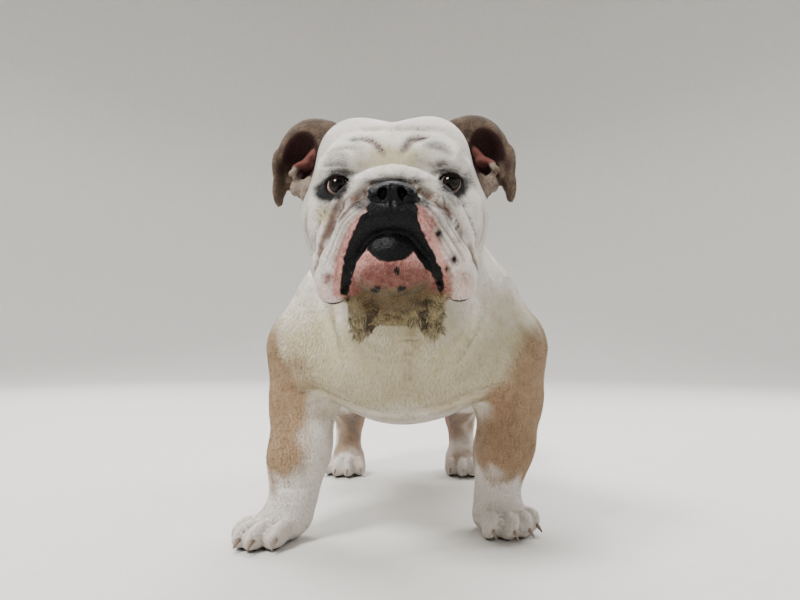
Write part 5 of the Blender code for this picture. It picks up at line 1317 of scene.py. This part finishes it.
def wetEye():
    # A living eye under tears: glossy, a dark brown iris, a wide pupil and a grey-pink white
    material, tree, shader = newMaterial("wet eye")
    flat = addNode(tree, "ShaderNodeUVMap", {"uv_map": "iris"})
    centred = addNode(tree, "ShaderNodeVectorMath", {"operation": "SUBTRACT", 1: (0.5, 0.5, 0)}, {0: flat.outputs[0]})
    away = addNode(tree, "ShaderNodeVectorMath", {"operation": "LENGTH"}, {0: centred.outputs[0]})
    radius = away.outputs["Value"]
    # Iris fibres run from the pupil out, as noise stretched along the radius
    turn = addNode(tree, "ShaderNodeTexGradient", {"gradient_type": "RADIAL"}, {0: centred.outputs[0]})
    spread = addNode(tree, "ShaderNodeCombineXYZ", {}, {0: turn.outputs["Fac"], 1: radius})
    fibre = addNode(tree, "ShaderNodeMapping", {"Scale": (60, 5, 1)}, {0: spread.outputs[0]})
    fibres = addNode(tree, "ShaderNodeTexNoise", {"Scale": 1.0, "Detail": 3}, {"Vector": fibre.outputs[0]})
    iris = addNode(tree, "ShaderNodeMix", {"data_type": "RGBA", 6: linear("0E0907"), 7: linear("2C1A11")},
                   {0: fibres.outputs["Fac"]})
    half = 1 / (2.2 * eyeBall["radius"])                # the map's half width stands for 1.1 radii
    stops = [(0, "040404"), (eyeBall["pupilRadius"] * half, "040404"), (eyeBall["pupilRadius"] * half + 0.02, None),
             (eyeBall["irisRadius"] * half - 0.025, None), (eyeBall["irisRadius"] * half, "0B0807"),
             (eyeBall["irisRadius"] * half + 0.016, "AC9A92"), (0.5, "9A6A61")]
    rings = addNode(tree, "ShaderNodeValToRGB", {}, {0: radius})
    inIris = addNode(tree, "ShaderNodeValToRGB", {}, {0: radius})
    for node in (rings, inIris):
        while len(node.color_ramp.elements) < len(stops):
            node.color_ramp.elements.new(0.5)
        for element, (at, code) in zip(node.color_ramp.elements, stops):
            here = code is None                          # between pupil and rim the fibres show
            mask = (1, 1, 1, 1) if here else (0, 0, 0, 1)
            element.position, element.color = at, mask if node == inIris else linear(code or "1C110B")
    whole = addNode(tree, "ShaderNodeMix", {"data_type": "RGBA"},
                    {0: inIris.outputs[0], 6: rings.outputs[0], 7: iris.outputs[2]})
    tree.links.new(whole.outputs[2], shader.inputs["Base Color"])
    shader.inputs["Roughness"].default_value = 0.03
    shader.inputs["IOR"].default_value = 1.376            # cornea
    shader.inputs["Specular IOR Level"].default_value = 0.35
    return material


def makeEye(side, name, material):
    bm = bmesh.new()
    bmesh.ops.create_uvsphere(bm, u_segments=48, v_segments=32, radius=eyeBall["radius"])
    layer = bm.loops.layers.uv.new("iris")
    for face_ in bm.faces:
        for loop in face_.loops:
            spot = loop.vert.co / eyeBall["radius"]
            reach = 1.0 if spot.z > 0 else 3.0            # the back of the eye lies off the map's rings
            loop[layer].uv = (0.5 + spot.x * reach / 2.2, 0.5 + spot.y * reach / 2.2)
    for vert in bm.verts:
        away = math.hypot(vert.co.x, vert.co.y)
        if vert.co.z > 0 and away < eyeBall["irisRadius"] * 1.1:
            vert.co *= 1 + eyeBall["bulge"] / eyeBall["radius"] * (1 - (away / eyeBall["irisRadius"] / 1.1) ** 2)
    sideways, up = eyeBall["gaze"][side]
    look = Matrix.Rotation(sideways, 4, "Z") @ Matrix.Rotation(-up, 4, "X") @ Matrix.Rotation(math.pi / 2, 4, "X")
    place = face @ Matrix.Translation((eye.x * side, eye.y, eye.z))
    bmesh.ops.transform(bm, matrix=place @ look, verts=bm.verts)
    finished(meshFrom(bm, "wet_" + name), "wet_" + name, material, [name])


eyeMaterial = wetEye()
makeEye(1, "eye_left", eyeMaterial)
makeEye(-1, "eye_right", eyeMaterial)
print("eyes: done")


# Claws

claws = {
    "start": (0.0150, -0.0010),
    "end": (0.0272, -0.0102),
    "rootRadius": 0.0033,
    "tipRadius": 0.0009,
    "arch": 0.0016,           # how far the claw bows up between root and tip
    "rings": 8,
}


def clawHorn():
    # Keratin horn: grey-brown, paler at the tip, faintly streaked along its length and worn satin
    material, tree, shader = newMaterial("claw horn")
    place = addNode(tree, "ShaderNodeTexCoord").outputs["Object"]
    stretched = addNode(tree, "ShaderNodeMapping", {"Scale": (1, 0.25, 0.4)}, {0: place})
    streaks = addNode(tree, "ShaderNodeTexNoise", {"Scale": 1400, "Detail": 3}, {"Vector": stretched.outputs[0]})
    tone = addNode(tree, "ShaderNodeMix", {"data_type": "RGBA", 6: linear("4A3F38"), 7: linear("A08C7A")},
                   {0: streaks.outputs["Fac"]})
    tree.links.new(tone.outputs[2], shader.inputs["Base Color"])
    shader.inputs["Roughness"].default_value = 0.38
    shader.inputs["IOR"].default_value = 1.55
    bump = addNode(tree, "ShaderNodeBump", {"Strength": 0.3, "Distance": 0.0002}, {"Height": streaks.outputs["Fac"]})
    tree.links.new(bump.outputs["Normal"], shader.inputs["Normal"])
    return material


def makeClaw(side, at, way, name, node, material):
    ahead = Matrix.Rotation(math.radians(way), 3, "Z") @ Vector((0, -1, 0))
    root, tip = (at + ahead * reach + Vector((0, 0, drop)) for reach, drop in (claws["start"], claws["end"]))
    shift = Vector(stance(np.array([at * Vector((side, 1, 1))]))[0])
    root, tip = (Vector((v.x * side, v.y, v.z)) + shift for v in (root, tip))
    bm = bmesh.new()
    ring = bmesh.ops.create_circle(bm, cap_ends=True, segments=12, radius=claws["rootRadius"])["verts"]
    bmesh.ops.scale(bm, verts=ring, vec=(0.8, 1.15, 1))
    along = tip - root
    turn = along.to_track_quat("Z", "Y").to_matrix().to_4x4()
    bmesh.ops.transform(bm, matrix=Matrix.Translation(root) @ turn, verts=ring)
    cap = bm.faces[:][0]
    for step in range(1, claws["rings"] + 1):
        t, before = step / claws["rings"], (step - 1) / claws["rings"]
        bow = claws["arch"] * 4 * (t * (1 - t) - before * (1 - before))
        size = 1 - (1 - claws["tipRadius"] / claws["rootRadius"]) * t ** 1.4
        last = 1 - (1 - claws["tipRadius"] / claws["rootRadius"]) * before ** 1.4
        cap = extrudeCap(bm, cap)
        bmesh.ops.translate(bm, verts=cap.verts, vec=along / claws["rings"] + Vector((0, 0, bow)))
        middle = cap.calc_center_median()
        bmesh.ops.scale(bm, verts=cap.verts, vec=(size / last,) * 3, space=Matrix.Translation(-middle))
    bmesh.ops.recalc_face_normals(bm, faces=bm.faces)
    finished(meshFrom(bm, name), name, material, [node])


def extrudeCap(bm, cap):
    risen = bmesh.ops.extrude_face_region(bm, geom=[cap])["geom"]
    return next(part for part in risen if isinstance(part, bmesh.types.BMFace))


def toeMiddles(x, y, toeOut):                           # each toe's middle and way, from the inside out
    turn = Matrix.Rotation(math.radians(toeOut), 3, "Z")
    for side, ahead, fan in feet["toes"]:
        yield turn @ Vector((side, ahead, feet["toeHeight"])) + Vector((x, y, 0)), toeOut + fan


horn = clawHorn()
for leg, place in (("fore", feet["fore"]), ("hind", feet["hind"])):
    for sideName, side in (("left", 1), ("right", -1)):
        for number, (at, way) in enumerate(toeMiddles(*place), 1):
            name = f"{leg}_{sideName}_{number}"
            makeClaw(side, at, way, "horn_" + name, "claw_" + name, horn)
print("claws: done")


# The damp, matted fringe under the chin

fringe = {
    "locks": 5200,
    "chinLength": 0.0038,
    "flapLength": 0.0088,
    "width": 0.0011,
    "curl": 0.55,             # how far the locks wave from side to side
    "seed": 53,
}


def fringeWeight(p):
    found = markingsAt(p)
    return np.clip(found["shade"][:, 1] * 1.4 - 0.4, 0, 1) ** 1.2 * (1 - found["marks"][:, 2]) * (inFace(p)[:, 2] < -0.08)


def mattedHair():
    # Long damp hair in locks: dark brown at the roots, partly wet hair and partly shade painted between the locks,
    # olive cream at the dried tips
    material, tree, shader = newMaterial("matted chin hair")
    place = addNode(tree, "ShaderNodeTexCoord").outputs["Object"]
    tuft = addNode(tree, "ShaderNodeAttribute", {"attribute_name": "tuft"})
    chance, along, _ = addNode(tree, "ShaderNodeSeparateColor", {}, {0: tuft.outputs["Color"]}).outputs
    streaks = addNode(tree, "ShaderNodeTexNoise", {"Scale": 800, "Detail": 3}, {"Vector": place})
    dry = addNode(tree, "ShaderNodeMath", {"operation": "MULTIPLY_ADD", 1: 0.5, 2: -0.2}, {0: streaks.outputs["Fac"]})
    tipped = addNode(tree, "ShaderNodeMath", {"operation": "ADD", "use_clamp": True}, {0: dry.outputs[0], 1: along})
    tone = addNode(tree, "ShaderNodeMix", {"data_type": "RGBA", 6: linear("3A2F1C"), 7: linear("C2B488")},
                   {0: tipped.outputs[0]})
    value = addNode(tree, "ShaderNodeMath", {"operation": "MULTIPLY_ADD", 1: 0.6, 2: 0.6}, {0: chance})
    tones = addNode(tree, "ShaderNodeAttribute", {"attribute_name": "tones"})
    grooveShade = addNode(tree, "ShaderNodeSeparateColor", {}, {0: tones.outputs["Color"]}).outputs[1]
    # painted shade under the chin, multiplied into the locks' colour
    sunk = {"data_type": "RGBA", "blend_type": "MULTIPLY", 7: linear("6E5F50")}
    shaded = addNode(tree, "ShaderNodeMix", sunk, {0: grooveShade, 6: tone.outputs[2]})
    toned = addNode(tree, "ShaderNodeHueSaturation", {}, {"Value": value.outputs[0], "Color": shaded.outputs[2]})
    tree.links.new(toned.outputs["Color"], shader.inputs["Base Color"])
    shader.inputs["Roughness"].default_value = 0.5
    shader.inputs["IOR"].default_value = 1.55
    return material


def makeFringe(mesh, material):
    rng = np.random.default_rng(fringe["seed"])
    n, k = fringe["locks"], 5
    roots, normals = scattered(mesh, fringeWeight, n, rng)
    found = markingsAt(roots)
    q = inFace(roots)
    x = np.where(q[:, 0] > 0, q[:, 0] + 0.014, -q[:, 0])   # the left flap's hair begins nearer the middle
    onFlap = ramp(x - 0.024, 0.006) * ramp(-0.122 - q[:, 2], 0.008)
    length = (fringe["chinLength"] + (fringe["flapLength"] - fringe["chinLength"]) * onFlap) * rng.uniform(0.7, 1.25, n)
    clump = np.column_stack([ripple(roots, 0.011, seed) for seed in (21, 22, 23)])
    way = lieOf(roots, normals, found["ears"][:, 0]) + normals * (0.12 + 0.30 * onFlap * rng.random(n))[:, None]
    way = unit(way + clump * (0.30 + 0.35 * onFlap)[:, None])
    lines = np.empty((n, k, 3))
    lines[:, 0] = roots - normals * 0.0005
    fall = np.column_stack([0 * onFlap, 0.10 + 0 * onFlap, -0.10 - 0.20 * onFlap])
    across, phase = unit(np.cross(normals, way)), 2.5 * ripple(roots, 0.008, 24) + rng.uniform(0, 1.5, n)
    for j in range(1, k):
        wave = across * (fringe["curl"] * np.sin(j * 1.8 + phase))[:, None]
        way = unit(way + fall + wave + clump * 0.12 + rng.normal(0, 0.08, (n, 3)))
        lines[:, j] = lines[:, j - 1] + way * (length / (k - 1))[:, None]
    sides = unit(np.cross(normals, lines[:, 1] - lines[:, 0]))
    taper = np.array([0.8, 1.0, 0.85, 0.55])
    widths = fringe["width"] * 0.5 * (0.6 + 0.5 * onFlap)[:, None] * rng.uniform(0.6, 1.5, n)[:, None] * taper
    locks, per, loops = spikes("chin_fringe", lines, sides, normals, widths, widths * 0.7)
    dressed(locks, per, loops, k, roots, normals, found, rng)
    finished(locks, "chin_fringe", material)
    print("fringe: triangles", len(locks.polygons))


makeFringe(bareSkin, mattedHair())


# Floor, light and camera

studio = {
    "floorRadius": 2.7,       # flat floor, then a curve up into a wall all round
    "curveRadius": 1.1,
    "wallHeight": 3.2,
    "camera": (-0.009, -0.95, 0.26),
    "pitch": 1.99,              # degrees up
    "lens": 33.75,
}


def paperSweep():
    # Matt background paper: pale and even, with a faint tooth
    material, tree, shader = newMaterial("matt background paper")
    place = addNode(tree, "ShaderNodeTexCoord").outputs["Object"]
    grain = addNode(tree, "ShaderNodeTexNoise", {"Scale": 40, "Detail": 5}, {"Vector": place})
    tone = addNode(tree, "ShaderNodeMix", {"data_type": "RGBA", 6: linear("C9C7C3"), 7: linear("D2D0CC")},
                   {0: grain.outputs["Fac"]})
    tree.links.new(tone.outputs[2], shader.inputs["Base Color"])
    shader.inputs["Roughness"].default_value = 0.9
    return material


def makeFloor():
    bm = bmesh.new()
    flat, bend = studio["floorRadius"], studio["curveRadius"]
    steps = [math.pi / 2 * i / 16 for i in range(17)]
    profile = [(0, 0)] + [(flat + bend * math.sin(t), bend - bend * math.cos(t)) for t in steps]
    profile.append((flat + bend, studio["wallHeight"]))
    verts = [bm.verts.new((x, 0, z)) for x, z in profile]
    edges = [bm.edges.new(pair) for pair in zip(verts, verts[1:])]
    bmesh.ops.spin(bm, geom=verts + edges, cent=(0, 0, 0), axis=(0, 0, 1), dvec=(0, 0, 0), angle=2 * math.pi, steps=96,
                   use_merge=True)
    bmesh.ops.remove_doubles(bm, verts=bm.verts, dist=1e-5)
    bmesh.ops.recalc_face_normals(bm, faces=bm.faces)
    if sum(f.normal.z for f in bm.faces) < 0:
        bmesh.ops.reverse_faces(bm, faces=bm.faces)
    mesh = meshFrom(bm, "background_paper")
    mesh.shade_smooth()
    mesh.materials.append(paperSweep())
    floor = bpy.data.objects.new("background_paper", mesh)
    bpy.context.scene.collection.objects.link(floor)


def addLight(name, place, aim, size, power, warmth):
    lamp = bpy.data.lights.new(name, "AREA")
    lamp.shape, lamp.size, lamp.size_y = "RECTANGLE", size[0], size[1]
    lamp.energy, lamp.color = power, warmth
    obj = bpy.data.objects.new(name, lamp)
    obj.location = place
    obj.rotation_euler = (Vector(aim) - Vector(place)).to_track_quat("-Z", "Y").to_euler()
    bpy.context.scene.collection.objects.link(obj)


makeFloor()
addLight("key", (-1.1, -1.3, 2.4), (0, -0.1, 0.3), (0.7, 0.7), 110, (1.0, 0.985, 0.96))
addLight("fill", (1.9, -1.6, 1.0), (0, 0, 0.25), (1.6, 1.4), 3, (0.96, 0.98, 1.0))
addLight("sky", (0, 1.10, 2.7), (0, 0, 0.3), (2.0, 1.6), 125, (1.0, 1.0, 1.0))
addLight("rim_right", (-1.5, 1.8, 1.5), (0, 0.1, 0.3), (1.0, 1.4), 40, (1.0, 1.0, 0.98))
addLight("rim_left", (1.8, 1.2, 1.6), (0, -0.1, 0.35), (1.0, 1.2), 50, (1.0, 1.0, 0.98))
world = bpy.data.worlds.new("studio")
world.use_nodes = True
world.node_tree.nodes["Background"].inputs["Color"].default_value = (0.95, 0.97, 1.0, 1)
world.node_tree.nodes["Background"].inputs["Strength"].default_value = 0.16
bpy.context.scene.world = world

lensData = bpy.data.cameras.new("camera")
lensData.lens, lensData.sensor_width, lensData.clip_start = studio["lens"], 36, 0.05
camera = bpy.data.objects.new("camera", lensData)
camera.location = toRow @ Vector(studio["camera"])
camera.rotation_euler = (math.radians(90 + studio["pitch"]), 0, 0)
bpy.context.scene.collection.objects.link(camera)
bpy.context.scene.camera = camera

print("studio: done")
